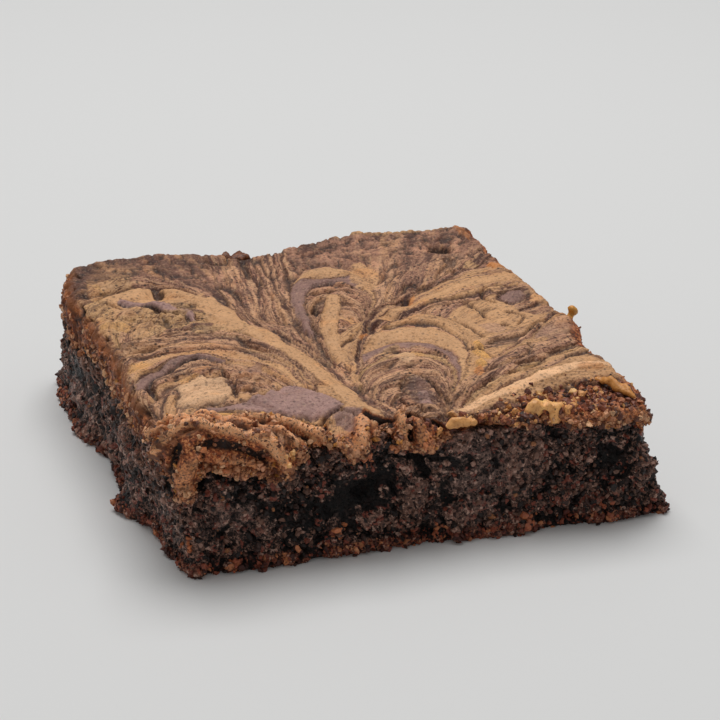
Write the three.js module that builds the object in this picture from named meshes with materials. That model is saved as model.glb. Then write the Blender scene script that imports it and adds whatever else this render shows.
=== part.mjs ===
// A square-cut chocolate brownie with a peanut swirl on top, as one closed solid.
// Millimetres, +Z up, flat underside on z = 0, origin under the middle of its footprint, front at -Y.
import * as THREE from 'three';

// A baking tray of 9 by 13 inches cut 3 by 4 gives pieces of about 76 by 82 mm.
const blockWidth = 76;
const blockDepth = 82;
const blockHeight = 22.7;
const rimRadius = 2.6;
const footRadius = 0.9;
const middle = { x: 1.08, y: 1.18 };

// Cells of the surface net across, front to back, and down the sides.
const net = { across: 46, deep: 50, down: 13 };

// The hand-cut outline, as [place along the side, where the side is there], at the top and at the foot.
const outline = {
  leftTop: [[-41, -37.9], [-30, -38.9], [-20, -39.2], [2, -38.8], [20, -40.2], [31, -39.4], [42, -37.5]],
  leftFoot: [[-41, -34.2], [-28, -36.6], [-12, -39.2], [4, -38.9], [18, -40.5], [33, -41.6], [43, -40.8]],
  rightTop: [[-41, 38.1], [-30, 37.7], [-20, 37.5], [-6, 38.3], [2, 38.9], [15, 37.6], [42, 38.2]],
  rightFoot: [[-41, 44.0], [-20, 43.2], [0, 42.1], [20, 42.6], [42, 41.8]],
  frontTop: [[-38, -39.4], [-30, -40.0], [0, -39.8], [38, -40.2]],
  frontFoot: [[-36, -40.2], [-28, -40.9], [-10, -39.9], [0, -40.1], [10, -41.2], [36, -41.3], [43, -40.2]],
  backTop: [[-38, 42.6], [-5, 41.9], [20, 42.9], [38, 42.8]],
  backFoot: [[-40, 43.2], [0, 42.6], [42, 43.5]],
};

// How late each side leaves its top line for its foot line on the way down: 1 is a straight slope.
const leanPower = { left: 1.7, right: 1.2, front: 1, back: 1 };

// How far the top falls below its usual height along the front edge, and along the back edge.
const frontDrop = [
  [-39, -0.7], [-33, -1.7], [-27, 0.0], [-21, 1.8], [-12, 2.1],
  [-5, 0.8], [0, 0.9], [6, 2.7], [18, 2.5], [39, 3.0],
];
const backDrop = [[-38, 0.6], [-24, -0.9], [-12, -0.2], [-2, 1.1], [6, 0.4], [16, -0.7], [38, -0.6]];
const frontDropReach = 13;
const backDropReach = 9;

// Knife pulls through the batter: a trough runs from start to end, as wide and deep as given.
const pulls = [
  { from: [-8, 43], to: [-10, 8], width: 6.0, depth: 1.0 },
  { from: [-10, 8], to: [-5, -22], width: 2.8, depth: 0.9 },
  { from: [-5, -22], to: [-3, -41], width: 2.2, depth: 0.7 },
  { from: [33, 23], to: [14, 9], width: 2.4, depth: 0.6 },
  { from: [28, 5.5], to: [11, 1], width: 2.0, depth: 0.6 },
  { from: [11, 1], to: [-3, -20], width: 2.0, depth: 0.6 },
  { from: [38, -18], to: [9, -39], width: 2.8, depth: 0.7 },
];

// Plumes of swirled batter: nested arches that share a foot and open towards a tip. left and right are
// the half angles of the fan, round fills out its shoulders, and bend swings the inner arches to the left.
// Arches stand a pitch apart, and one of them has its crest this far along from foot to tip.
const farLeft = { foot: [-14, -30], tip: [-29, 29.5], left: 0.62, right: 0.27, round: 0.35, bend: 0 };
const centre = { foot: [-4, -20], tip: [6, 29], left: 0.21, right: 0.27, round: 0.28, bend: 0 };
const nearLeft = { foot: [-25, -50], tip: [-30, 1], left: 0.8, right: 0.8, round: 0.62, bend: 0 };
const nearRight = { foot: [2, -52], tip: [12, -1], left: 0.4, right: 0.4, round: 0.28, bend: 0.28 };
const plumes = [
  { ...farLeft, crest: 0.93, pitch: 7 },
  { ...centre, crest: 0.95, pitch: 7 },
  { ...nearLeft, crest: 0.91, pitch: 5.5 },
  { ...nearRight, crest: 0.88, pitch: 6.5 },
];
const archHeight = 0.42;

// Rolled ridges and crumbs of crust: [x, y, z, radius x, radius y, radius z, height].
const lumps = [
  [-33, -40, 20.5, 5, 3, 3.0, 1.1],
  [-23, -39, 19.5, 4, 3, 2.4, 0.9],
  [-36, -40, 14, 2.6, 3, 3.2, 0.8],
  [-19.5, -40, 17.5, 2.6, 3, 2.6, 1.1],
  [-8, -40, 19, 4, 3, 2.4, 0.9],
  [2, -40, 17.5, 2.6, 3, 2.2, 1.0],
  [20, -40, 19.5, 2.4, 3, 2.0, 1.3],
  [30, -40, 17.5, 8, 3, 2.6, 0.9],
  [38.5, -9.5, 22, 2.4, 2.6, 2.6, 1.5],
  [-39.2, -15.8, 1.6, 3, 3.4, 1.9, 2.3],
  [-39, 8, 20, 3, 7, 3, 0.7],
  [-39, 30, 21, 3, 6, 3, 0.6],
];

// Hollows in the crumb and holes in the top, in the same order with the depth last.
const hollows = [
  [-6, -40, 9.4, 4.0, 4, 3.6, 2.6],
  [1.5, -40, 14.0, 2.8, 4, 2.6, 1.8],
  [-26.5, -40, 17.6, 3.4, 3, 1.9, 1.7],
  [-33.5, -40, 17, 1.9, 3, 3.2, 1.4],
  [-13, -40, 8, 2.6, 4, 2.6, 1.1],
  [-21, -40, 5, 4.5, 3, 2.2, 0.8],
  [23, -40, 15, 2.6, 3, 1.8, 1.0],
  [34, -40, 11, 2.6, 3, 3.6, 0.9],
  [40, -40, 13.2, 2.4, 2.4, 1.5, 1.4],
  [-26, 25, 22.7, 1.9, 2.8, 3, 1.3],
  [15, 8.5, 22.7, 2.4, 3.0, 3, 1.2],
  [-1, 8, 22.7, 1.6, 2.8, 3, 1.0],
  [30, 33, 22.7, 2.8, 2.6, 3, 1.6],
  [-34.5, -3, 22.7, 2.4, 2.2, 3, 1.2],
  [-36, -20, 22.7, 2.0, 2.6, 3, 1.1],
];

// Seeded pits and bumps all round the sides, so that no side is plain.
const sidePits = { count: 34, seed: 11, radius: [1.8, 3.6], depth: [0.3, 1.0] };

// Relief as [cell of the noise, height]: slow waves, then rounded crumbs with creases between them.
const sideWaves = [9, 0.8];
const sideCrumbs = [4.4, 1.5];
const topWaves = [15, 0.5];
const topLumps = [5.2, 0.4];

// The baked crust stands proud of the crumb above this height, and the base crust below the other.
const crust = { from: 16.0, wander: 3.2, cell: 6.5, soft: 0.9, proud: 0.8, baseUpTo: 2.0, baseProud: 0.6 };

const mix = (a, b, t) => a + (b - a) * t;
const clamp = (value, low, high) => Math.min(high, Math.max(low, value));
const ease = (t) => t * t * t * (t * (t * 6 - 15) + 10);
const step = (low, high, value) => ease(clamp((value - low) / (high - low), 0, 1));

// A number from 0 to 1 for each point of a whole-numbered lattice.
function scatter(x, y, z, seed) {
  let h = Math.imul(x, 374761393) ^ Math.imul(y, 668265263);
  h = h ^ Math.imul(z, 1274126177) ^ Math.imul(seed, 974634777);
  h = Math.imul(h ^ (h >>> 13), 1103515245);
  h = Math.imul(h ^ (h >>> 16), 668265263);
  return ((h ^ (h >>> 15)) >>> 0) / 4294967296;
}

// Smooth noise from -1 to 1, its lattice one unit wide.
function noise(x, y, z, seed) {
  const [i, j, k] = [Math.floor(x), Math.floor(y), Math.floor(z)];
  const [a, b, c] = [ease(x - i), ease(y - j), ease(z - k)];
  const row = (dj, dk) => mix(scatter(i, j + dj, k + dk, seed), scatter(i + 1, j + dj, k + dk, seed), a);
  return mix(mix(row(0, 0), row(1, 0), b), mix(row(0, 1), row(1, 1), b), c) * 2 - 1;
}

// Slow waves and rounded crumbs of a given cell and height at a point.
const relief = (at, [cell, height], seed) => height * noise(at.x / cell, at.y / cell, at.z / cell, seed);
const crumbs = (at, [cell, height], seed) => Math.abs(relief(at, [cell, height], seed)) - 0.3 * height;

// A smooth curve through a list of [place, value] points, flat past its ends.
function follow(points, place) {
  const last = points.length - 1;
  if (place <= points[0][0]) return points[0][1];
  if (place >= points[last][0]) return points[last][1];
  const i = points.findIndex((point) => point[0] > place) - 1;
  const slope = (n) => {
    const [before, after] = [points[Math.max(n - 1, 0)], points[Math.min(n + 1, last)]];
    return (after[1] - before[1]) / (after[0] - before[0]);
  };
  const gap = points[i + 1][0] - points[i][0];
  const t = (place - points[i][0]) / gap;
  const t2 = t * t;
  const t3 = t2 * t;
  return points[i][1] * (2 * t3 - 3 * t2 + 1) + slope(i) * gap * (t3 - 2 * t2 + t)
    + points[i + 1][1] * (3 * t2 - 2 * t3) + slope(i + 1) * gap * (t3 - t2);
}

// How much of a round bump is felt at a point: 1 in its middle, near 0 past its radii.
function bump(at, [x, y, z, radiusX, radiusY, radiusZ]) {
  const [a, b, c] = [(at.x - x) / radiusX, (at.y - y) / radiusY, (at.z - z) / radiusZ];
  return Math.exp(-(a * a + b * b + c * c));
}

// Height of the top above the floor before its relief, from the two measured edges.
function topHeight(x, y) {
  const nearFront = 1 - step(-blockDepth / 2, -blockDepth / 2 + frontDropReach, y);
  const nearBack = step(blockDepth / 2 - backDropReach, blockDepth / 2, y);
  return blockHeight - follow(frontDrop, x) * nearFront - follow(backDrop, x) * nearBack;
}

// The swirl's relief: nested arches in the plumes, each plume over the one before it, and troughs along
// the knife pulls.
function swirl(x, y) {
  let height = 0;
  for (const { foot, tip, left, right, round, bend, crest, pitch } of plumes) {
    const length = Math.hypot(tip[0] - foot[0], tip[1] - foot[1]);
    const reach = Math.hypot(x - foot[0], y - foot[1]) / length;
    const axis = Math.atan2(tip[1] - foot[1], tip[0] - foot[0]) + bend * (1 - Math.min(reach, 1.2));
    const turn = Math.atan2(y - foot[1], x - foot[0]) - axis;
    const swing = turn > 0 ? turn / left : -turn / right;
    if (swing >= 1) continue;
    const arch = reach / Math.cos(swing * Math.PI / 2) ** round;
    const cover = 1 - step(1.02, 1.12, arch);
    const crests = Math.cos((arch - crest) * length / pitch * 2 * Math.PI) * (1 - step(0.5, 0.95, swing));
    height = mix(height, archHeight * crests, cover);
  }
  for (const { from, to, width, depth } of pulls) {
    const [dx, dy] = [to[0] - from[0], to[1] - from[1]];
    const t = clamp(((x - from[0]) * dx + (y - from[1]) * dy) / (dx * dx + dy * dy), 0, 1);
    const away = Math.hypot(x - from[0] - t * dx, y - from[1] - t * dy) / width;
    height -= depth * Math.exp(-away * away);
  }
  return height;
}

// Pits on the four sides, drawn once from the seed.
function drawSidePits() {
  const draw = (n, k) => scatter(n, k, 0, sidePits.seed);
  return Array.from({ length: sidePits.count }, (_, n) => {
    const radius = mix(...sidePits.radius, draw(n, 0));
    const z = mix(3.5, 18, draw(n, 1));
    const place = mix(-1, 1, draw(n, 2));
    const [x, y] = [
      [place * blockWidth / 2, blockDepth / 2],
      [blockWidth / 2, place * blockDepth / 2],
      [-blockWidth / 2, place * blockDepth / 2],
      [place * blockWidth / 2, -blockDepth / 2],
    ][n % 4];
    return [x, y, z, radius, radius, radius * 0.8, mix(...sidePits.depth, draw(n, 3))];
  });
}
const allHollows = [...hollows, ...drawSidePits()];

// A point of the plain rounded block and the direction that it faces.
function roundedBlock(x, y, z) {
  const radius = z > blockHeight / 2 ? rimRadius : footRadius;
  const core = new THREE.Vector3(
    clamp(x, -blockWidth / 2 + radius, blockWidth / 2 - radius),
    clamp(y, -blockDepth / 2 + radius, blockDepth / 2 - radius),
    clamp(z, radius, blockHeight - radius),
  );
  const facing = new THREE.Vector3(x, y, z).sub(core).normalize();
  return { place: core.addScaledVector(facing, radius), facing };
}

// The same point on the hand-cut, risen and crumbled brownie.
function surface(x, y, z) {
  const { place, facing } = roundedBlock(x, y, z);
  const across = place.x / blockWidth + 0.5;
  const deep = place.y / blockDepth + 0.5;
  const low = 1 - place.z / blockHeight;
  const side = (top, foot, where, power) => mix(follow(top, where), follow(foot, where), low ** power);
  const left = side(outline.leftTop, outline.leftFoot, place.y, leanPower.left);
  const right = side(outline.rightTop, outline.rightFoot, place.y, leanPower.right);
  const front = side(outline.frontTop, outline.frontFoot, place.x, leanPower.front);
  const back = side(outline.backTop, outline.backFoot, place.x, leanPower.back);
  const at = new THREE.Vector3(mix(left, right, across), mix(front, back, deep), place.z);
  at.z *= topHeight(at.x, at.y) / blockHeight;

  const onTop = clamp(facing.z, 0, 1);
  const onSide = Math.hypot(facing.x, facing.y);
  const crustEdge = crust.from + crust.wander * noise(at.x / crust.cell, at.y / crust.cell, 0.5, 31);
  const inCrust = step(crustEdge - crust.soft, crustEdge + crust.soft, at.z);
  const inBase = 1 - step(crust.baseUpTo - crust.soft, crust.baseUpTo + crust.soft, at.z);
  let out = onSide * (relief(at, sideWaves, 1) + crumbs(at, sideCrumbs, 2) * (1 - 0.4 * inCrust));
  out += onSide * (crust.proud * inCrust + crust.baseProud * inBase);
  out += onTop * (relief(at, topWaves, 21) + relief(at, topLumps, 22) + swirl(at.x, at.y));
  for (const lump of lumps) out += lump[6] * bump(at, lump);
  for (const hollow of allHollows) out -= hollow[6] * bump(at, hollow);
  at.addScaledVector(facing, out);
  return at;
}

// The closed net: a grid over the top, rings down the sides, and a flat fan underneath.
function brownieGeometry() {
  const { across, deep, down } = net;
  const points = [];
  const put = (x, y, z) => {
    const at = surface(x, y, z);
    points.push(at.x - middle.x, at.y - middle.y, z === 0 ? 0 : at.z);
    return points.length / 3 - 1;
  };
  const gridX = (i) => (i / across - 0.5) * blockWidth;
  const gridY = (j) => (j / deep - 0.5) * blockDepth;
  const top = Array.from({ length: across + 1 }, (_, i) =>
    Array.from({ length: deep + 1 }, (_, j) => put(gridX(i), gridY(j), blockHeight)));

  // Once round the rim, counterclockwise from the front left corner.
  const round = [];
  for (let i = 0; i < across; i++) round.push([i, 0]);
  for (let j = 0; j < deep; j++) round.push([across, j]);
  for (let i = across; i > 0; i--) round.push([i, deep]);
  for (let j = deep; j > 0; j--) round.push([0, j]);
  const rings = [round.map(([i, j]) => top[i][j])];
  for (let k = 1; k <= down; k++) {
    const z = blockHeight * (1 - k / down);
    rings.push(round.map(([i, j]) => put(gridX(i), gridY(j), z)));
  }

  const faces = [];
  for (let i = 0; i < across; i++) {
    for (let j = 0; j < deep; j++) {
      const [a, b, c, d] = [top[i][j], top[i + 1][j], top[i + 1][j + 1], top[i][j + 1]];
      faces.push(a, b, c, a, c, d);
    }
  }
  for (let k = 0; k < down; k++) {
    for (let n = 0; n < round.length; n++) {
      const m = (n + 1) % round.length;
      const [a, b, c, d] = [rings[k][n], rings[k][m], rings[k + 1][m], rings[k + 1][n]];
      faces.push(a, c, b, a, d, c);
    }
  }
  points.push(0, 0, 0);
  const centre = points.length / 3 - 1;
  const foot = rings[down];
  foot.forEach((point, n) => faces.push(centre, foot[(n + 1) % foot.length], point));

  const geometry = new THREE.BufferGeometry();
  geometry.setAttribute('position', new THREE.Float32BufferAttribute(points, 3));
  geometry.setIndex(faces);
  geometry.computeVertexNormals();
  return geometry;
}

const darkCrumb = new THREE.MeshStandardMaterial({ color: 0x4a3128, roughness: 0.8, metalness: 0 });

const brownie = new THREE.Mesh(brownieGeometry(), darkCrumb);
brownie.name = 'brownie';

const piece = new THREE.Group();
piece.add(brownie);

export default piece;
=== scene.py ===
import math
import bpy
import numpy as np
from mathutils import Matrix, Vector


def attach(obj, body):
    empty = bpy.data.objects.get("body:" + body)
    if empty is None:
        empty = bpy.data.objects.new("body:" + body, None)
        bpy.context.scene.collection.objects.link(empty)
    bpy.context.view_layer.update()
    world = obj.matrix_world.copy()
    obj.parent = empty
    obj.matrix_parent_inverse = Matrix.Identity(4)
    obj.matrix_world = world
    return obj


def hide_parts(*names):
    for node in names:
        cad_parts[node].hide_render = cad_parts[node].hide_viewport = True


# A square-cut chocolate brownie with a peanut swirl, on a plain pale floor.
# Shapes are worked out in millimetres and put into the meshes in metres.

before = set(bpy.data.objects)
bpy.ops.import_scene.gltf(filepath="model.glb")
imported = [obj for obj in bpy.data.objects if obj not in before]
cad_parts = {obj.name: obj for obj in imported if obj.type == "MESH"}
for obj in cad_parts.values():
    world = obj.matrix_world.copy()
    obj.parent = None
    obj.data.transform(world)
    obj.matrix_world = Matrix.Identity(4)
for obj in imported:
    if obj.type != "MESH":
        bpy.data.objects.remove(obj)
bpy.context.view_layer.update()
metre = 0.001

# The block is the same as the solid's: its plain size, how round its rim and foot are, and its middle.
block = {"width": 76.0, "depth": 82.0, "height": 22.7, "rim": 2.6, "foot": 0.9, "middle": (1.08, 1.18)}

# Camera first: it stands to the left of the front, a bit above, with a long lens. Clip is in metres.
cameraPlace = {"azimuth": -16.53, "elevation": 22.75, "away": 379.05, "lens": 110.0, "sensor": 36.0,
               "aimRight": 0.01081, "aimUp": 0.01108, "clip": (0.01, 20)}


def makeCamera(p):
    turn, lift = math.radians(p["azimuth"]), math.radians(p["elevation"])
    back = Vector((math.sin(turn) * math.cos(lift), -math.cos(turn) * math.cos(lift), math.sin(lift)))
    right = Vector((math.cos(turn), math.sin(turn), 0))
    up = back.cross(right)
    target = Vector((-block["middle"][0], -block["middle"][1], block["height"] / 2))
    aim = -back + right * p["aimRight"] + up * p["aimUp"]
    cameraData = bpy.data.cameras.new("camera")
    cameraData.lens = p["lens"]
    cameraData.sensor_width = p["sensor"]
    cameraData.clip_start, cameraData.clip_end = p["clip"]
    camera = bpy.data.objects.new("camera", cameraData)
    camera.location = (target + back * p["away"]) * metre
    camera.rotation_mode = "QUATERNION"
    camera.rotation_quaternion = aim.to_track_quat("-Z", "Y")
    bpy.context.collection.objects.link(camera)
    bpy.context.scene.camera = camera


makeCamera(cameraPlace)
print("camera placed")


def linear(code):
    # an sRGB hex colour turned linear
    v = np.array([int(code[k:k + 2], 16) / 255 for k in (1, 3, 5)])
    return np.where(v <= 0.04045, v / 12.92, ((v + 0.055) / 1.055) ** 2.4)


def rgba(code):
    # the same with alpha, as sockets want it
    return (*linear(code), 1.0)


def scatter(i, j, k, seed):
    # a number from 0 to 1 for each point of a lattice, hashed as for the solid, so that both have the same
    # big relief
    i, j, k = (np.asarray(v).astype(np.int64).astype(np.uint32) for v in (i, j, k))
    h = i * np.uint32(374761393) ^ j * np.uint32(668265263) ^ k * np.uint32(1274126177)
    h = h ^ np.uint32((seed * 974634777) & 0xFFFFFFFF)
    h = (h ^ (h >> np.uint32(13))) * np.uint32(1103515245)
    h = (h ^ (h >> np.uint32(16))) * np.uint32(668265263)
    return (h ^ (h >> np.uint32(15))).astype(float) / 4294967296


def ease(t):
    # 0 to 1, flat at both ends
    return t * t * t * (t * (t * 6 - 15) + 10)


def step(low, high, value):
    # 0 below low, 1 above high, eased between them
    return ease(np.clip((value - low) / (high - low), 0, 1))


def noise(x, y, z, seed):
    # lattice numbers blended by the smooth ease curve, from -1 to 1
    x, y, z = np.broadcast_arrays(np.asarray(x, float), np.asarray(y, float), np.asarray(z, float))
    i, j, k = np.floor(x), np.floor(y), np.floor(z)
    a, b, c = ease(x - i), ease(y - j), ease(z - k)

    def row(dj, dk):
        near = scatter(i, j + dj, k + dk, seed)
        return near + (scatter(i + 1, j + dj, k + dk, seed) - near) * a

    low = row(0, 0) + (row(1, 0) - row(0, 0)) * b
    high = row(0, 1) + (row(1, 1) - row(0, 1)) * b
    return (low + (high - low) * c) * 2 - 1


def layered(x, y, z, seed, octaves=3):
    # noise plus finer noise at half the height each time
    parts = [noise(x * 2**n, y * 2**n, z * 2**n, seed + n) * 0.5**n for n in range(octaves)]
    return sum(parts) / (2 - 0.5 ** (octaves - 1))


def granules(x, y, z, seed, jitter=0.8):
    # each lattice cell holds one grain: distance to the nearest grain and that grain's own number
    i, j, k = np.floor(x), np.floor(y), np.floor(z)
    best = np.full(np.shape(x), 9.0)     # further than any grain
    own = np.zeros(np.shape(x))
    for di in (-1, 0, 1):
        for dj in (-1, 0, 1):
            for dk in (-1, 0, 1):
                ci, cj, ck = i + di, j + dj, k + dk
                gx = ci + 0.5 + jitter * (scatter(ci, cj, ck, seed) - 0.5)
                gy = cj + 0.5 + jitter * (scatter(ci, cj, ck, seed + 1) - 0.5)
                gz = ck + 0.5 + jitter * (scatter(ci, cj, ck, seed + 2) - 0.5)
                away = np.sqrt((x - gx) ** 2 + (y - gy) ** 2 + (z - gz) ** 2)
                nearer = away < best
                best = np.where(nearer, away, best)
                own = np.where(nearer, scatter(ci, cj, ck, seed + 3), own)
    return best, own


# Outline, drops and bumps: the solid's own values, in mm. Each side has a line along its top and its foot.
outline = {
    "leftTop": [(-41, -37.9), (-30, -38.9), (-20, -39.2), (2, -38.8), (20, -40.2), (31, -39.4), (42, -37.5)],
    "leftFoot": [(-41, -34.2), (-28, -36.6), (-12, -39.2), (4, -38.9), (18, -40.5), (33, -41.6), (43, -40.8)],
    "rightTop": [(-41, 38.1), (-30, 37.7), (-20, 37.5), (-6, 38.3), (2, 38.9), (15, 37.6), (42, 38.2)],
    "rightFoot": [(-41, 44.0), (-20, 43.2), (0, 42.1), (20, 42.6), (42, 41.8)],
    "frontTop": [(-38, -39.4), (-30, -40.0), (0, -39.8), (38, -40.2)],
    "frontFoot": [(-36, -40.2), (-28, -40.9), (-10, -39.9), (0, -40.1), (10, -41.2), (36, -41.3),
                  (43, -40.2)],
    "backTop": [(-38, 42.6), (-5, 41.9), (20, 42.9), (38, 42.8)],
    "backFoot": [(-40, 43.2), (0, 42.6), (42, 43.5)],
}
leanPower = {"left": 1.7, "right": 1.2, "front": 1.0, "back": 1.0}
# How far the top sinks along the front and the back rim, by x, and how far in from the rim that reaches.
frontDrop = [(-39, -0.7), (-33, -1.7), (-27, 0.0), (-21, 1.8), (-12, 2.1),
             (-5, 0.8), (0, 0.9), (6, 2.7), (18, 2.5), (39, 3.0)]
backDrop = [(-38, 0.6), (-24, -0.9), (-12, -0.2), (-2, 1.1), (6, 0.4), (16, -0.7), (38, -0.6)]
dropReach = {"front": 13, "back": 9}

# Pulls: troughs where the knife went.
pulls = [
    {"from": (-8, 43), "to": (-10, 8), "width": 6.0, "depth": 1.0},
    {"from": (-10, 8), "to": (-5, -22), "width": 2.8, "depth": 0.9},
    {"from": (-5, -22), "to": (-3, -41), "width": 2.2, "depth": 0.7},
    {"from": (33, 23), "to": (14, 9), "width": 2.4, "depth": 0.6},
    {"from": (28, 5.5), "to": (11, 1), "width": 2.0, "depth": 0.6},
    {"from": (11, 1), "to": (-3, -20), "width": 2.0, "depth": 0.6},
    {"from": (38, -18), "to": (9, -39), "width": 2.8, "depth": 0.7},
]

# Lumps and hollows: x, y, z, three radii, then height or depth.
lumps = [
    (-33, -40, 20.5, 5, 3, 3.0, 1.1), (-23, -39, 19.5, 4, 3, 2.4, 0.9), (-36, -40, 14, 2.6, 3, 3.2, 0.8),
    (-19.5, -40, 17.5, 2.6, 3, 2.6, 1.1), (-8, -40, 19, 4, 3, 2.4, 0.9), (2, -40, 17.5, 2.6, 3, 2.2, 1.0),
    (20, -40, 19.5, 2.4, 3, 2.0, 1.3), (30, -40, 17.5, 8, 3, 2.6, 0.9),
    (38.5, -9.5, 22, 2.4, 2.6, 2.6, 1.5), (-39.2, -15.8, 1.6, 3, 3.4, 1.9, 2.3),
    (-39, 8, 20, 3, 7, 3, 0.7), (-39, 30, 21, 3, 6, 3, 0.6),
]
hollows = [
    (-6, -40, 9.4, 4.0, 4, 3.6, 2.6), (1.5, -40, 14.0, 2.8, 4, 2.6, 1.8),
    (-26.5, -40, 17.6, 3.4, 3, 1.9, 1.7), (-33.5, -40, 17, 1.9, 3, 3.2, 1.4),
    (-13, -40, 8, 2.6, 4, 2.6, 1.1), (-21, -40, 5, 4.5, 3, 2.2, 0.8), (23, -40, 15, 2.6, 3, 1.8, 1.0),
    (34, -40, 11, 2.6, 3, 3.6, 0.9), (40, -40, 13.2, 2.4, 2.4, 1.5, 1.4),
    (-26, 25, 22.7, 1.9, 2.8, 3, 1.3), (15, 8.5, 22.7, 2.4, 3.0, 3, 1.2), (-1, 8, 22.7, 1.6, 2.8, 3, 1.0),
    (30, 33, 22.7, 2.8, 2.6, 3, 1.6), (-34.5, -3, 22.7, 2.4, 2.2, 3, 1.2),
    (-36, -20, 22.7, 2.0, 2.6, 3, 1.1),
]
# Pits torn in the sides: how many, their radii, depths and heights, and how much lower than wide they are.
sidePits = {"count": 34, "seed": 11, "radius": (1.8, 3.6), "depth": (0.3, 1.0), "between": (3.5, 18),
            "squat": 0.8}
# Waves and lumps of the skin: cell and height.
sideWaves, sideCrumbs, topWaves, topLumps = (9, 0.8), (4.4, 1.5), (15, 0.5), (5.2, 0.4)
# How low the crust comes and how it wanders, how proud of the crumb it stands, and the base crust's height.
crust = {"from": 16.0, "wander": 3.2, "cell": 6.5, "soft": 0.9, "proud": 0.8, "baseUpTo": 2.0,
         "baseProud": 0.6, "baseWander": (1.7, 0.7)}


def follow(points, place):
    # a smooth curve through [place, value] points, with the slope of the chord past each, flat past the ends
    px, py = np.array(points, float).T
    slope = np.empty_like(px)
    slope[1:-1] = (py[2:] - py[:-2]) / (px[2:] - px[:-2])
    slope[0], slope[-1] = (py[1] - py[0]) / (px[1] - px[0]), (py[-1] - py[-2]) / (px[-1] - px[-2])
    at = np.clip(place, px[0], px[-1])
    i = np.clip(np.searchsorted(px, at, side="right") - 1, 0, len(px) - 2)
    gap = px[i + 1] - px[i]
    t = (at - px[i]) / gap
    t2, t3 = t * t, t * t * t
    return (py[i] * (2 * t3 - 3 * t2 + 1) + slope[i] * gap * (t3 - 2 * t2 + t)
            + py[i + 1] * (3 * t2 - 2 * t3) + slope[i + 1] * gap * (t3 - t2))


def bump(x, y, z, spot):
    # a soft lump, 1 in its middle
    sx, sy, sz, rx, ry, rz = spot[:6]
    return np.exp(-(((x - sx) / rx) ** 2 + ((y - sy) / ry) ** 2 + ((z - sz) / rz) ** 2))


def drawSidePits():
    # pits all round the sides, each on the back, right, left or front in turn
    spots = []
    halfW, halfD = block["width"] / 2, block["depth"] / 2
    for n in range(sidePits["count"]):
        size, level, where, deep = [float(scatter(n, k, 0, sidePits["seed"])) for k in range(4)]
        radius, z, depth = (low + (high - low) * share for share, (low, high) in (
            (size, sidePits["radius"]), (level, sidePits["between"]), (deep, sidePits["depth"])))
        alongX, alongY = (where * 2 - 1) * halfW, (where * 2 - 1) * halfD
        sides = [(alongX, halfD), (halfW, alongY), (-halfW, alongY), (alongX, -halfD)]
        spots.append((*sides[n % 4], z, radius, radius, radius * sidePits["squat"], depth))
    return spots


def topHeight(x, y):
    # the block's height less the drops at the front and the back
    half = block["depth"] / 2
    nearFront = 1 - step(-half, -half + dropReach["front"], y)
    nearBack = step(half - dropReach["back"], half, y)
    return block["height"] - follow(frontDrop, x) * nearFront - follow(backDrop, x) * nearBack


def roundedBlock(x, y, z):
    # the point on the block with rounded edges, and the way it faces
    radius = np.where(z > block["height"] / 2, block["rim"], block["foot"])
    point = np.stack([x, y, z], 1)
    halfW, halfD = block["width"] / 2, block["depth"] / 2
    low = np.stack([-halfW + radius, -halfD + radius, radius], 1)
    high = np.stack([halfW - radius, halfD - radius, block["height"] - radius], 1)
    core = np.clip(point, low, high)
    facing = point - core
    facing /= np.maximum(np.linalg.norm(facing, axis=1, keepdims=True), 1e-9)
    return core + facing * radius[:, None], facing


def onOutline(place):
    # the same point on the hand-cut piece: each side line is a blend of its top and foot lines
    low = 1 - place[:, 2] / block["height"]

    def side(name, where):
        blend = np.clip(low, 0, 1) ** leanPower[name]
        top, foot = follow(outline[name + "Top"], where), follow(outline[name + "Foot"], where)
        return top + (foot - top) * blend

    across, deep = place[:, 0] / block["width"] + 0.5, place[:, 1] / block["depth"] + 0.5
    left, right = side("left", place[:, 1]), side("right", place[:, 1])
    front, back = side("front", place[:, 0]), side("back", place[:, 0])
    x, y = left + (right - left) * across, front + (back - front) * deep
    return np.stack([x, y, place[:, 2] * topHeight(x, y) / block["height"]], 1)


# The swirl's tones: colour, how strandy it is, and how far it stands up in mm. Peanut batter bakes smooth
# and pale to orange, cocoa batter dull and grainy, from a mauve skin to dark brown. The near black deep tone
# is painted shade: it goes where the top sinks, in cracks, holes, valleys and sunk lines.
tones = {name: np.array([*linear(code), strands, rise]) for name, (code, strands, rise) in {
    "deep": ("#3A1D13", 0.3, -0.45), "dark": ("#6C4030", 0.9, -0.2), "cocoa": ("#9C705A", 1.0, -0.08),
    "brown": ("#B5846A", 1.0, -0.04), "mauve": ("#A17E78", 0.12, 0.10), "mid": ("#C89876", 0.9, 0.0),
    "olive": ("#C2986A", 0.8, 0.0), "tan": ("#CA9A6D", 0.4, 0.08), "pale": ("#CC9D71", 0.10, 0.15),
    "gold": ("#E4AA60", 0.3, 0.18), "orange": ("#C47A36", 0.3, 0.2), "rubble": ("#7C4630", 1.0, 0.0),
    "fold": ("#DEA47E", 0.8, 0.0), "plum": ("#937067", 0.15, 0.05),
    "edge": ("#8C5A38", 1.0, -0.05), "cream": ("#DEB28A", 0.2, 0.10), "core": ("#7C5950", 0.5, 0.0),
    "bright": ("#F4C295", 0.10, 0.15),
}.items()}

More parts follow.
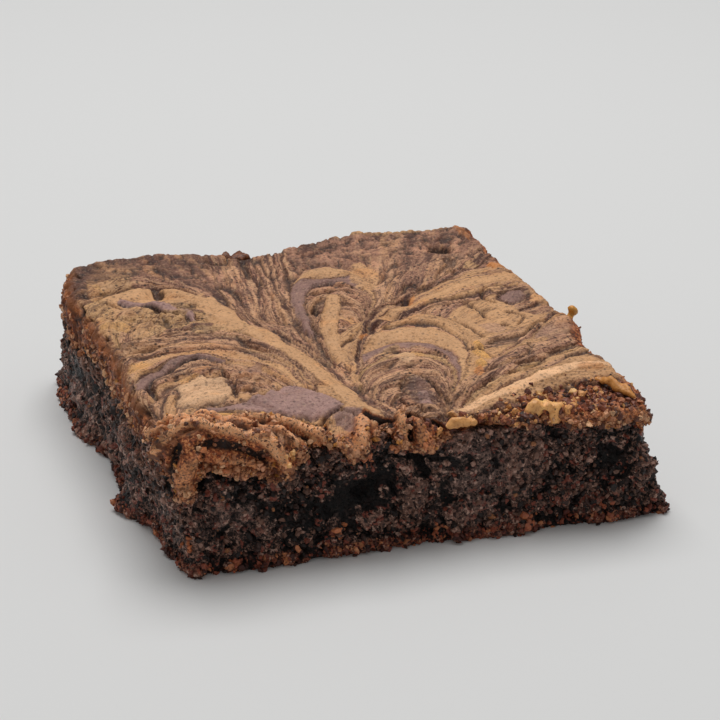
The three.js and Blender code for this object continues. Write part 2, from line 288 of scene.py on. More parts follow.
# What the fan of streaks is, by its angle in degrees round the point where the pulls meet. Far from that
# point, the streaks break up into a mottle. Wave and soft are in degrees.
fan = {
    "meets": (-4, -24), "reach": 34.0, "wave": 4.0, "soft": 1.2, "mottle": 3.0, "mottleFrom": (20, 34),
    "bands": [(14, "tan"), (19, "mid"), (30, "tan"), (36, "pale"), (43, "tan"), (50, "brown"), (57, "mid"),
     (63, "cocoa"), (70, "mid"), (78, "brown"), (88, "mid"), (97, "brown"), (106, "dark"), (118, "brown"),
     (180, "mid")],
    "mottleBands": [(-0.2, "dark"), (0.12, "cocoa"), (0.5, "brown"), (1, "mid")],
}

# Plumes: nested arches from a shared foot to a tip. left and right are the fan's half angles, round fills
# its shoulders, bend swings the inner arches, crest and pitch place the ridges, and bands run foot to tip.
# A deep band in an arch is a sunk line painted with shade.
plumes = [
    {"foot": (-14, -30), "tip": (-29, 29.5), "left": 0.62, "right": 0.27, "round": 0.35, "bend": 0,
     "crest": 0.93, "pitch": 7, "bands": [(0.5, "brown"), (0.56, "mid"), (0.6, "olive"), (0.63, "cocoa"),
     (0.7, "olive"), (0.73, "cocoa"), (0.765, "mid"), (0.8, "olive"), (0.83, "tan"), (0.89, "pale"),
     (0.91, "tan"), (0.975, "pale"), (0.99, "deep"), (1.1, "cocoa")]},
    {"foot": (-4, -20), "tip": (6, 29), "left": 0.21, "right": 0.27, "round": 0.28, "bend": 0,
     "crest": 0.95, "pitch": 7, "bands": [(0.44, "brown"), (0.5, "tan"), (0.56, "mid"), (0.62, "brown"),
     (0.7, "mid"), (0.84, "brown"), (0.91, "mid"), (0.93, "tan"), (0.975, "pale"), (0.985, "tan"),
     (1.0, "dark"), (1.1, "brown")]},
    {"foot": (-25, -50), "tip": (-30, 1), "left": 0.8, "right": 0.8, "round": 0.62, "bend": 0,
     "crest": 0.91, "pitch": 5.5, "bands": [(0.46, "mid"), (0.5, "tan"), (0.54, "mid"), (0.6, "tan"),
     (0.62, "cocoa"), (0.655, "mid"), (0.675, "tan"), (0.69, "brown"), (0.72, "mid"), (0.735, "dark"),
     (0.76, "mid"), (0.785, "tan"), (0.8, "brown"), (0.83, "tan"), (0.85, "pale"), (0.87, "tan"),
     (0.885, "brown"), (0.91, "mid"), (0.925, "tan"), (0.935, "dark"), (0.955, "tan"), (0.965, "cocoa"),
     (0.99, "mid"), (1.0, "dark"), (1.1, "mid")]},
    {"foot": (2, -52), "tip": (12, -1), "left": 0.4, "right": 0.4, "round": 0.28, "bend": 0.28,
     "crest": 0.88, "pitch": 6.5, "bands": [(0.3, "mid"), (0.36, "brown"), (0.385, "dark"),
     (0.43, "brown"), (0.48, "mid"), (0.5, "cocoa"), (0.56, "mid"), (0.59, "brown"), (0.64, "mid"),
     (0.66, "cocoa"), (0.71, "olive"), (0.74, "brown"), (0.8, "plum"), (0.81, "deep"), (0.815, "brown"),
     (0.83, "tan"), (0.93, "pale"), (0.945, "tan"), (0.96, "brown"), (0.972, "deep"), (1.1, "tan")]},
]
arches = {"height": 0.42, "fade": (0.3, 0.7)}     # the ridges fade out towards a plume's shoulders

# Strokes: batter drawn out along a knife's path. Half widths along it, bands from its right to its left, and
# how far it is lifted. A deep band is a sunk line painted with shade; beside a lifted stroke it is painted
# shadow under its edge.
strokes = [
    {"line": [(-7, 46), (-9, 30), (-11, 14), (-9.5, 0), (-6.5, -12), (-5, -22)],
     "width": (6.0, 5.0, 4.0, 2.9, 1.7, 1.0), "bands": [(-0.85, "mid"), (-0.7, "brown"), (-0.55, "dark"),
     (-0.4, "mid"), (-0.25, "cocoa"), (-0.1, "mid"), (0.1, "cocoa"), (0.25, "mid"), (0.4, "dark"),
     (0.6, "brown"), (0.8, "mid"), (1, "dark")]},
    {"line": [(-1, 44), (-3, 30), (-5, 15), (-5.5, 2), (-5, -10), (-4.5, -20)],
     "width": (3.5, 3.0, 2.8, 2.0, 1.3, 0.7), "bands": [(-0.7, "brown"), (-0.4, "mid"), (-0.15, "dark"),
     (0.1, "mid"), (0.35, "brown"), (0.6, "mid"), (0.8, "dark"), (1, "mid")]},
    {"line": [(10.5, 15.5), (7.8, 20), (3, 21.2), (-1, 17.8), (-3.2, 11), (-4.8, 3), (-5.2, -4)],
     "width": (1.2, 2.4, 2.5, 2.0, 1.4, 0.9, 0.4), "lift": 0.35, "bands": [(-0.8, "dark"), (0.8, "plum"),
     (1, "dark")]},
    {"line": [(-7.5, -8), (-5.8, -18), (-5.2, -28), (-3.4, -36), (-2.2, -43)],
     "width": (0.8, 1.1, 1.3, 1.3, 1.5), "bands": [(-0.5, "mid"), (-0.2, "dark"), (0.1, "cocoa"),
     (0.4, "dark"), (0.7, "brown"), (1, "mid")]},
    {"line": [(-15, 1), (-11.6, -7), (-9.2, -15), (-7.8, -24), (-6.6, -32), (-4.8, -42)],
     "width": (2.2, 2.1, 1.9, 1.8, 1.8, 1.8), "bands": [(-0.8, "tan"), (0.8, "pale"), (1, "tan")]},
    {"line": [(38, 28), (31, 21), (24, 15), (16, 11), (8, 4)], "width": (1.9, 1.7, 1.3, 0.9, 0.4),
     "bands": [(-0.4, "brown"), (0.3, "dark"), (1, "cocoa")]},
    {"line": [(40, 13), (31, 12), (22, 8.8), (14, 5.2), (7, -1), (1, -9), (-2.6, -17), (-4, -25)],
     "width": (7.0, 6.2, 4.2, 3.0, 2.0, 1.4, 0.8, 0.5), "bands": [(-0.8, "mid"), (-0.45, "tan"),
     (-0.38, "cocoa"), (-0.1, "tan"), (0.2, "pale"), (0.5, "tan"), (0.56, "brown"), (0.85, "tan"),
     (1, "mid")]},
    {"line": [(31, 6), (24, 5), (17, 4), (11, 1), (5, -4), (0, -12), (-3, -20)],
     "width": (1.1, 1.1, 1.0, 0.7, 0.6, 0.6, 0.4), "bands": [(0.3, "dark"), (1, "brown")]},
    {"line": [(9, 4), (4.5, -3), (1, -10), (-2, -18)], "width": (0.4, 0.7, 0.6, 0.4), "bands": [
     (0.3, "dark"), (1, "mid")]},
    {"line": [(3.4, 13), (1.9, 8), (-0.6, 1.5), (-2.7, -6), (-3.7, -15)],
     "width": (0.9, 1.6, 1.7, 1.4, 0.7), "bands": [(-0.6, "tan"), (0.7, "pale"), (1, "tan")]},
    {"line": [(39, -17), (30, -20.5), (23, -24.5), (16, -30.5), (10, -37.5), (7, -43)],
     "width": (2.9, 3.6, 3.3, 2.8, 2.3, 2.0), "bands": [(-0.8, "mid"), (-0.62, "brown"), (-0.45, "mid"),
     (-0.28, "cocoa"), (-0.12, "mid"), (0.02, "brown"), (0.14, "cocoa"), (0.32, "mid"), (0.46, "brown"),
     (0.62, "mid"), (0.8, "brown"), (1, "mid")]},
    {"line": [(38, -23), (31, -25), (23, -29), (15, -35), (9, -42)], "width": (2.4, 2.2, 1.8, 1.5, 1.0),
     "bands": [(-0.5, "olive"), (0.2, "tan"), (0.7, "mid"), (1, "brown")]},
    {"line": [(38, -30.5), (31, -30.4), (26, -32), (20, -35.2), (14, -38.6), (8, -41.5)],
     "width": (0.8, 1.4, 2.0, 2.1, 1.6, 1.1), "bands": [(-0.8, "tan"), (0.8, "bright"), (1, "tan")]},
    {"line": [(-33.5, 21.5), (-29, 19.3), (-25.2, 14.5), (-23.2, 8.5)], "width": (0.9, 1.6, 1.5, 0.7),
     "lift": 0.35, "bands": [(-0.5, "deep"), (0.85, "mauve"), (1, "mid")]},
    {"line": [(-37.5, -19), (-34, -13.8), (-29, -10.8), (-22.5, -12)], "width": (1.3, 1.5, 0.9, 0.4),
     "lift": 0.3, "bands": [(-0.5, "deep"), (0.7, "plum"), (1, "dark")]},
    {"line": [(38.5, -7), (33, -11.5), (27, -16), (21.5, -21.5)], "width": (1.3, 1.1, 0.8, 0.4),
     "bands": [(-0.5, "mid"), (0.1, "brown"), (0.5, "mid"), (1, "tan")]},
    {"line": [(-40, -36.5), (-35, -33.2), (-29, -32.6), (-22, -34.6), (-17.5, -38), (-14.5, -44)],
     "width": (1.2, 1.6, 1.7, 1.7, 1.5, 1.2), "bands": [(-0.7, "deep"), (-0.3, "mid"), (0.5, "tan"),
     (0.8, "gold"), (1, "dark")]},
    {"line": [(-40, -42), (-36, -37.5), (-29, -36.5), (-23, -39), (-19, -44)],
     "width": (1.2, 1.5, 1.7, 1.6, 1.2), "bands": [(-0.5, "deep"), (0.2, "cocoa"), (0.7, "mid"),
     (1, "deep")]},
]

# Patches and holes: x, y, half length, half width, turn in degrees, tone, strength, depth (below 0, height).
# A deep patch over a hole is painted shade in it.
patches = [
    (-39.8, -6, 2.6, 15, 0, "edge", 0.9, 0), (-39.9, 20, 2.3, 13, 0, "edge", 0.9, 0),
    (-39.4, -28, 2.2, 9, 0, "edge", 0.9, 0), (38.6, -20, 1.2, 12, 0, "edge", 0.7, 0),
    (-30.5, 10.5, 7.0, 6.0, 0, "olive", 0.8, 0), (-37.5, 18, 2.6, 6, 0, "olive", 0.9, 0),
    (11.6, 21.5, 2.8, 6.5, -8, "tan", 0.9, 0), (29, -6, 6.5, 6.0, -25, "tan", 0.85, 0),
    (35.2, -2.4, 3.2, 3.4, 0, "cocoa", 0.85, 0), (-33, 31, 4, 6, 0, "olive", 0.7, 0),
    (-27, 36, 6, 2.5, 0, "mid", 0.6, -0.4), (-31, 37, 5, 4, 0, "olive", 0.5, 0),
    (-36.5, 27, 1.6, 4, 0, "gold", 0.35, 0), (-39.5, 34, 2.4, 9, 0, "dark", 0.9, 0),
    (-18, 11, 2.8, 11, 6, "pale", 0.95, 0), (-13.6, -1, 2.2, 5, 18, "pale", 0.9, 0),
    (-33.5, 14, 2.0, 1.5, 0, "mid", 0.8, -0.6), (-29.5, 13.5, 1.8, 1.4, 20, "olive", 0.8, -0.6),
    (-27.5, 10.5, 1.2, 1.6, 0, "olive", 0.8, -0.5), (-31, 10.5, 1.6, 1.0, 0, "dark", 0.7, 0.4),
    (-36, 8.5, 2.6, 1.6, 0, "gold", 0.45, -0.3), (-31.5, 7.5, 2.4, 1.4, 0, "tan", 0.8, -0.3),
    (-33, 4.5, 1.8, 1.2, 0, "pale", 0.8, -0.3), (-26.5, 5, 2.6, 1.3, 0, "cocoa", 0.8, 0),
    (-22.5, 2, 2.2, 1.5, 0, "deep", 0.55, 0.3), (-9.6, -40.5, 2.8, 4.2, 10, "plum", 0.95, 0),
    (-6.5, -46, 4, 3, 0, "rubble", 0.8, 0), (-25.5, 25.5, 1.0, 2.6, 0, "deep", 0.9, 0.6),
    (-24, 41, 17, 10, 0, "dark", 0.6, 0), (-20.5, -20, 3.4, 5.4, 14, "brown", 0.7, 0),
    (-19, -16, 2.2, 1.4, 30, "plum", 0.6, 0), (-21.5, -24, 1.2, 0.8, 0, "deep", 0.8, 0.4),
    (-23.3, -19, 0.6, 2.6, 5, "deep", 0.85, 0.5), (8, 40, 22, 5, 0, "dark", 0.2, 0),
    (-26.5, -14.6, 2.4, 0.6, 15, "orange", 0.5, 0), (-29.5, -17, 1.8, 2, 0, "gold", 0.4, 0),
    (-33.5, -21, 1.4, 2.6, 0, "cocoa", 0.8, 0), (-23.5, -20, 1.4, 3.5, 10, "brown", 0.8, 0),
    (-36.6, -11.2, 1.8, 3.6, -25, "gold", 0.5, 0), (8, -17.5, 2.4, 1.9, 0, "gold", 0.5, -0.1),
    (5, -14.5, 2.6, 0.8, 30, "olive", 0.7, 0), (19.4, -17.2, 0.8, 1.9, -10, "gold", 0.95, -0.4),
    (18.7, -21.2, 1.2, 2.2, 20, "gold", 0.95, -0.6), (17.2, -24.6, 1.0, 1.6, 0, "gold", 0.95, -0.5),
    (15.9, -27.6, 0.8, 2.0, -20, "orange", 0.8, -0.3), (19.9, -20.6, 0.5, 2.8, 12, "deep", 0.8, 0.4),
    (34, -14, 4.0, 2.0, 28, "plum", 0.5, 0), (33.6, -31.5, 2.4, 1.6, -10, "orange", 0.45, -0.2),
    (36.8, -26.8, 1.4, 1.8, 0, "rubble", 0.9, -0.5), (6.6, -18, 1.8, 2.6, -10, "cream", 0.8, -0.1),
    (24.5, -29.8, 2.4, 0.8, 20, "olive", 0.7, -0.2), (17.6, -17.8, 0.5, 1.4, 40, "dark", 0.8, 0.3),
    (4.3, -33, 2.0, 6.4, -8, "core", 0.9, 0.1), (4.1, -35.5, 0.9, 3.6, -6, "mauve", 0.8, -0.1),
    (20.3, -44.2, 3.2, 1.7, 0, "rubble", 0.6, -1.0), (-1.2, 8, 0.9, 2.6, -12, "deep", 0.95, 0.6),
    (15, 8.5, 0.9, 2.4, -30, "deep", 0.95, 0.6), (16.4, 8.8, 0.5, 2.4, -30, "orange", 0.8, -0.2),
    (33.8, 3.6, 3.4, 3.4, 0, "dark", 0.9, 0.2), (33.6, 3.8, 2.2, 2.2, 0, "plum", 1.0, -0.4),
    (35.8, 18.8, 1.5, 2.2, 0, "orange", 0.9, -0.3), (30, 33, 2.2, 1.9, 20, "deep", 0.95, 0.8),
    (29, 25, 0.9, 1.8, 0, "deep", 0.7, 0.5), (32.5, 22.5, 1.4, 1.6, 0, "olive", 0.8, -0.3),
    (3, -6.2, 0.8, 1.2, -30, "orange", 0.85, -0.2), (25, 2, 0.5, 2.2, -10, "deep", 0.7, 0.4),
    (26.5, -1.5, 1.6, 0.9, 30, "olive", 0.5, 0.2), (30, -3.5, 0.7, 0.9, 0, "deep", 0.9, 0.6),
    (27.5, -8.5, 0.6, 0.8, 0, "deep", 0.8, 0.5), (25, -9.5, 2.0, 2.6, 10, "mauve", 0.35, 0),
    (-34, -3.5, 2.0, 1.2, 0, "deep", 0.9, 0.5), (-36.3, -20, 0.9, 2.4, 0, "deep", 0.95, 0.6),
    (24, 43.5, 16, 1.4, 0, "olive", 0.8, 0), (36.8, 40, 1.0, 5, 0, "orange", 0.6, 0),
    (31, -42.6, 9, 6.6, 16, "rubble", 1.0, 0.5), (14, -44.5, 8, 3.2, 8, "rubble", 0.95, 0.3),
    (4, -46, 6, 2.6, 0, "rubble", 0.8, 0.2),
]

# Shards: pieces of dried skin with crisp edges. Corners, tone, how ragged the edge is, how proud it lies.
shards = [
    ([(-33, -28.4), (-33.6, -26), (-32.4, -23), (-32.6, -19.6), (-30.4, -18.6), (-29, -16.8),
      (-27.4, -16), (-26, -17.4), (-23.6, -16.6), (-23.2, -18.6), (-24.6, -20.6), (-24, -23),
      (-25, -25.2), (-26.6, -27), (-29, -26.8), (-30.6, -28)], "cream", 0.5, 0.05),
    ([(-29.6, -28.3), (-26, -28), (-23, -28), (-21, -27.2), (-19, -26), (-16.5, -24.6), (-14.6, -23.8),
      (-12.5, -25.5), (-11, -28.5), (-9.5, -31.5), (-8.8, -34.2), (-11, -36.8), (-12.8, -38.8),
      (-15, -38), (-16, -36), (-18, -35.5), (-18.8, -34), (-22, -32.4), (-25, -31), (-28, -29.8)],
      "mauve", 0.18, 0.25),
]

# Cracks: a path and its depth.
cracks = [
    ([(-22, -36.5), (-18.5, -38), (-15.5, -40.6), (-12.5, -38.5), (-9.5, -35.8)], 0.9),
    ([(-24, -26.5), (-23.4, -20), (-24.2, -15)], 0.4),
    ([(-8, -42), (-8.6, -39), (-10.5, -37)], 0.7),
    ([(-38, 21), (-33, 19.3), (-28, 16), (-25.5, 11)], 0.7),
    ([(22, -26.5), (27, -23.8), (34, -22.8)], 0.5),
    ([(19.5, -29.6), (23, -28.2), (26.8, -27.4)], 0.6),
    ([(1.6, -32), (2.6, -27.4), (5, -26.2), (6.8, -30), (6.9, -36)], 0.4),
    ([(2, -41), (1.2, -37.5), (0, -34)], 0.6),
    ([(22, 2.8), (25, -0.5), (25.2, -5)], 0.2),
    ([(36, 8), (31, 8.5), (28.5, 5), (29.5, 1)], 0.4),
    ([(30, -4), (31.5, -7), (29, -10)], 0.3),
    ([(19, -3.4), (21.6, -8), (21.4, -14)], 0.25),
    ([(38, -8.5), (33, -10.5), (27, -14.5)], 0.3),
]

# Strands: their widths across the streaks and run along them, heights, how wide the valleys are, and how much
# darker or lighter they go; deep is how much painted shade goes into the valleys.
strandy = {"width": (0.7, 1.7), "run": 11.0, "height": 0.16, "ropes": 1.25, "valley": 0.21, "mottle": 1.1,
           "clod": 2.6, "lump": 1.8, "dark": 0.55, "light": 0.45, "deep": 0.95}
# Spots inside the left plumes where the strands are broken into lumps: x, y, two radii.
lumpySpots = [(-31, 10, 8, 8), (-25, -21, 8, 7)]
# How the marks waver and how sharp their edges are.
marking = {"warps": ((9, 0.9), (2.6, 0.34), (1.0, 0.14)), "plume": 0.016, "stroke": 0.3, "patch": (0.3, 0.15),
           "crack": 0.42}
# The oven's work: a wide and a fine shade (cell and share), toasted spots, and more contrast and warmth.
baked = {"wide": (3.4, 0.18), "fine": (1.1, 0.16), "toastCell": 6, "toast": (0.05, -0.04, -0.16),
         "contrast": 0.065, "full": 0.42, "warmth": (1.05, 1.01, 0.95)}


def banded(bands, t, soft):
    # each band's tone up to its end, with a short change-over
    colour = np.zeros(t.shape + (5,)) + tones[bands[0][1]]
    for (end, _), (_, tone) in zip(bands[:-1], bands[1:]):
        colour += (tones[tone] - colour) * step(end - soft, end + soft, t)[..., None]
    return colour


def drawnLine(points, steps=14):
    # a smooth line through the points, each stretch a cubic with the neighbours' chords as slopes
    p = np.array(points, float)
    pad = np.vstack([2 * p[0] - p[1], p, 2 * p[-1] - p[-2]])
    t = np.linspace(0, 1, steps, endpoint=False)[:, None]
    parts = []
    for a, b, c, d in zip(pad[:-3], pad[1:-2], pad[2:-1], pad[3:]):
        cubic = 2 * b + (c - a) * t + (2 * a - 5 * b + 4 * c - d) * t**2 + (3 * b - a - 3 * c + d) * t**3
        parts.append(0.5 * cubic)
    return np.vstack(parts + [p[-1:]])


def nearest(x, y, line):
    # distance from the line, plus on its left, and how far along it, from 0 to 1
    best, side, along = np.full(x.shape, 1e9), np.zeros(x.shape), np.zeros(x.shape)
    for k, ((ax, ay), (bx, by)) in enumerate(zip(line[:-1], line[1:])):
        dx, dy = bx - ax, by - ay
        t = np.clip(((x - ax) * dx + (y - ay) * dy) / (dx * dx + dy * dy), 0, 1)
        ex, ey = x - ax - t * dx, y - ay - t * dy
        away = np.hypot(ex, ey)
        nearer = away < best
        best = np.where(nearer, away, best)
        side = np.where(nearer, np.sign(dx * ey - dy * ex), side)
        along = np.where(nearer, (k + t) / (len(line) - 1), along)
    return best * side, along


def inside(x, y, corners):
    # mm inside the closed line, and below 0 outside it
    line = np.array(corners + corners[:1], float)
    odd = np.zeros(x.shape, bool)
    for (ax, ay), (bx, by) in zip(line[:-1], line[1:]):
        odd ^= ((ay > y) != (by > y)) & (x < ax + (y - ay) * (bx - ax) / (by - ay + 1e-9))
    away = np.abs(nearest(x, y, line)[0])
    return np.where(odd, away, -away)


def inPlume(p, x, y):
    # how far along from foot to tip a point's arch is, and how far out to the side, 0 to 1
    (fx, fy), (tx, ty) = p["foot"], p["tip"]
    length = math.hypot(tx - fx, ty - fy)
    reach = np.hypot(x - fx, y - fy) / length
    turn = np.arctan2(y - fy, x - fx) - math.atan2(ty - fy, tx - fx)
    turn = turn - p["bend"] * (1 - np.minimum(reach, 1.2))
    turn = (turn + math.pi) % (2 * math.pi) - math.pi
    swing = np.where(turn > 0, turn / p["left"], -turn / p["right"])
    shoulder = np.cos(np.clip(swing, 0, 1) * math.pi / 2) ** p["round"]
    return np.where(swing < 1, reach / np.maximum(shoulder, 1e-3), 9), swing, length


def swirlRelief(x, y):
    # the solid's relief, calmer on the shoulders: arches, each plume over the one before, then the pulls
    height = np.zeros(x.shape)
    for p in plumes:
        arch, swing, length = inPlume(p, x, y)
        cover = 1 - step(1.02, 1.12, arch)
        crests = np.cos((arch - p["crest"]) * length / p["pitch"] * 2 * math.pi)
        crests = crests * (1 - step(*arches["fade"], swing))
        height += (arches["height"] * crests - height) * cover
    for pull in pulls:
        (ax, ay), (bx, by) = pull["from"], pull["to"]
        dx, dy = bx - ax, by - ay
        t = np.clip(((x - ax) * dx + (y - ay) * dy) / (dx * dx + dy * dy), 0, 1)
        away = np.hypot(x - ax - t * dx, y - ay - t * dy) / pull["width"]
        height -= pull["depth"] * np.exp(-away * away)
    return height


def laidFlat(x, y, slide=(0.68, 2.29)):
    # the swirl is laid out on one level, as seen from the front: where the top sinks, the marks slide back
    sunk = block["height"] - topHeight(x, y)
    return x - slide[0] * sunk, y - slide[1] * sunk


def over(look, tone, share):
    # a tone laid over the look, as far as the share says
    look += (tone - look) * share[..., None]


def warped(v, x, y, seed):
    # x or y pushed about by noise of three sizes
    return v + sum(h * noise(x / c, y / c, 0.5, seed + 2 * n) for n, (c, h) in enumerate(marking["warps"]))


def drawFan(wx, wy):
    # streaks that fan out from where the pulls meet, and break up into a mottle far from there
    dx, dy = wx - fan["meets"][0], wy - fan["meets"][1]
    turn, reach = np.arctan2(dy, dx), np.hypot(dx, dy)
    streak = turn * fan["reach"]
    wavy = np.degrees(turn) + fan["wave"] * layered(streak / 3, reach / 12, 0.5, 61)
    look = banded(fan["bands"], wavy, fan["soft"])
    mottle = layered(wx / fan["mottle"], wy / fan["mottle"], 0.5, 65)
    far = step(*fan["mottleFrom"], wy + 5 * mottle)
    over(look, banded(fan["mottleBands"], mottle, 0.1), far)
    return look, streak, far


def drawPlumes(look, streak, drawnIn, wx, wy):
    # each plume covers what lies under it
    for p in plumes:
        arch, swing, length = inPlume(p, wx, wy)
        wavy = arch + marking["plume"] * layered(swing * 9, arch * 14, 0.5, 71)
        cover = 1 - step(1.03, 1.05, wavy)
        over(look, banded(p["bands"], wavy, 0.006), cover)
        streak[:] = np.where(cover > 0.5, arch * length, streak)
        drawnIn[:] = np.maximum(drawnIn, cover)


def drawStrokes(look, streak, drawnIn, holes, wx, wy):
    # bands across each stroke, round on top where it is lifted
    for p in strokes:
        away, along = nearest(wx, wy, drawnLine(p["line"]))
        half = np.interp(along, np.linspace(0, 1, len(p["width"])), p["width"])
        wavy = away / half + marking["stroke"] * layered(away / 1.0, along * 12, 0.5, 81)
        cover = (1 - step(0.88, 1.06, np.abs(wavy))) * ((along > 0) & (along < 1))
        over(look, banded(p["bands"], wavy, 0.05), cover)
        holes -= p.get("lift", 0) * cover * (1 - np.minimum(np.abs(wavy), 1) ** 2)
        streak[:] = np.where(cover > 0.5, away + 50, streak)
        drawnIn[:] = np.maximum(drawnIn, cover)


def drawPatches(look, holes, x, y):
    # turned ovals with a ragged edge
    wide, fine = marking["patch"]
    for sx, sy, halfLength, halfWidth, degrees, tone, strength, depth in patches:
        c, s = math.cos(math.radians(degrees)), math.sin(math.radians(degrees))
        u = ((x - sx) * c + (y - sy) * s) / halfLength
        v = ((y - sy) * c - (x - sx) * s) / halfWidth
        edge = np.hypot(u, v) + wide * layered(x / 2.0, y / 2.0, 0.5, 91)
        edge += fine * noise(x / 0.8, y / 0.8, 0.5, 92)
        over(look, tones[tone], strength * (1 - step(0.88, 1.08, edge)))
        holes += depth * (1 - step(0.4, 1.1, edge))


def drawShards(look, drawnIn, holes, x, y):
    # crisp pieces with a line of painted shade round them, below their proud edge
    for corners, tone, ragged, proud in shards:
        deepIn = inside(x, y, corners) + ragged * layered(x / 1.2, y / 1.2, 0.5, 93)
        cover = step(-0.15, 0.15, deepIn)
        over(look, tones["deep"], 0.75 * (1 - step(0.15, 0.6, np.abs(deepIn))) * (1 - cover))
        over(look, tones[tone], cover)
        holes -= proud * cover
        drawnIn[:] = np.maximum(drawnIn, cover)


def drawCracks(look, holes, wx, wy):
    # each crack sinks and is painted in the deep tone: painted shade in the crack
    for line, depth in cracks:
        away, along = nearest(wx, wy, drawnLine(line))
        share = (1 - step(0.3, 1.0, np.abs(away) / marking["crack"])) * ((along > 0) & (along < 1))
        over(look, tones["deep"], share)
        holes += depth * share


def drawStrands(look, streak, loose, x, y, wx, wy):
    # fine strands and ropes along the streaks, with painted shade in the valleys between the ropes: loose
    # parts crumble and the lumpy spots clot instead. Returns the strands' height.
    along = (x / strandy["run"], y / strandy["run"])
    thin, wide = strandy["width"]
    fine = (0.6 * noise(streak / thin, *along, 95)
            + 0.5 * layered(x / strandy["mottle"], y / strandy["mottle"], 0.5, 97))
    rope = np.abs(noise(streak / wide, *along, 96))
    crumbled = np.abs(layered(wx / strandy["clod"], wy / strandy["clod"], 0.5, 98, 2))
    rope += (crumbled * 1.5 - rope) * loose
    clods = sum(np.exp(-((x - sx) / rx) ** 4 - ((y - sy) / ry) ** 4) for sx, sy, rx, ry in lumpySpots)
    lumpy = np.abs(layered(wx / strandy["lump"], wy / strandy["lump"], 0.5, 99, 2))
    rope += (lumpy * 1.4 - rope) * clods
    valley = 1 - step(0.0, strandy["valley"], rope)
    share = np.clip((look[..., 3] - 0.3) / 0.7, 0, 1)
    over(look, tones["dark"], strandy["dark"] * share * step(0.10, 0.5, -fine))
    over(look, tones["tan"], strandy["light"] * share * step(0.12, 0.5, fine))
    # painted shade in the valleys between the ropes
    over(look, tones["deep"], strandy["deep"] * share * valley)
    calm = 1 - 0.65 * loose + 0.7 * clods
    look[..., 3] *= np.minimum(calm, 1)
    return (fine * strandy["height"] + strandy["ropes"] * (np.minimum(rope, 0.4) - 0.2)) * share * calm


def bakeTones(look, x, y):
    # uneven shade and toasted spots, then darks and middle tones drawn apart and all a little warmer
    (wide, wideShare), (fine, fineShare) = baked["wide"], baked["fine"]
    shade = 1 + wideShare * layered(x / wide, y / wide, 0.5, 101)
    shade += fineShare * noise(x / fine, y / fine, 0.5, 105)
    look[..., :3] *= shade[..., None]
    toasted = step(0.15, 0.6, layered(x / baked["toastCell"], y / baked["toastCell"], 0.5, 109))[..., None]
    look[..., :3] *= 1 + toasted * np.array(baked["toast"])
    level = np.clip(look[..., :3] @ (0.2126, 0.7152, 0.0722) / baked["full"], 0.02, 1)
    contrast = 1 - baked["contrast"] * np.sin(2 * math.pi * level) / level
    look[..., :3] *= contrast[..., None] * baked["warmth"]


def swirl(x, y):
    # the marbled top: look is colour, strands and rise; also a measure in mm across the streaks, the
    # strands' own height and the depth of holes and cracks, less what is lifted
    wx, wy = warped(x, x, y, 51), warped(y, x, y, 52)
    look, streak, far = drawFan(wx, wy)
    holes, drawnIn = np.zeros(x.shape), np.zeros(x.shape)
    drawPlumes(look, streak, drawnIn, wx, wy)
    drawStrokes(look, streak, drawnIn, holes, wx, wy)
    drawPatches(look, holes, x, y)
    drawShards(look, drawnIn, holes, x, y)
    drawCracks(look, holes, wx, wy)
    relief = drawStrands(look, streak, far * (1 - drawnIn), x, y, wx, wy)
    bakeTones(look, x, y)
    return look, streak, relief, holes


# The brownie is two closed pieces that share the solid's form: the swirled crust, which wraps the rim and
# ends in a ragged edge, and the crumb under it, down to the base crust. Each runs on out of sight, tucked
# under the other. Grains are cell and height; calm is how much less of each the dense patches have, and
# sideCalm how much less the cut sides have.
form = {
    "crust": {"spacing": 0.33, "from": block["height"], "to": 10.5, "tuck": 2.0, "cap": 1.0,
              "edgeCells": [(2.4, 1.0), (1.0, 0.6)], "grains": [(1.7, 0.45), (0.95, 0.32)], "calm": (0, 0),
              "sideCalm": 0.1, "topGrain": [(1.3, 0.12), (0.7, 0.09)]},
    "crumb": {"spacing": 0.30, "from": 20.4, "to": 0.0, "tuck": 0.9, "cap": 2.5,
              "grains": [(3.0, 1.2), (1.4, 0.85), (0.75, 0.48)], "calm": (0.85, 0.6, 0.2), "sideCalm": 0.45},
}
# Upright tears on the cut sides, but not the front: how far apart and tall, how narrow and deep, and where.
tears = {"apart": 2.4, "tall": 9, "narrow": 0.2, "depth": 0.8, "between": (4, 15)}

# Where the cut is smooth and dense instead of crumbly: x, y, z, three radii.
densePatches = [
    (11.5, -41, 11, 8.5, 5, 7.5), (-10.5, -41, 8.5, 1.8, 5, 3.6), (-28, -41, 9, 6, 5, 3),
    (44, 5, 10, 5, 12, 6), (10, 44, 9, 12, 5, 6), (-42, 22, 9, 5, 8, 5),
]

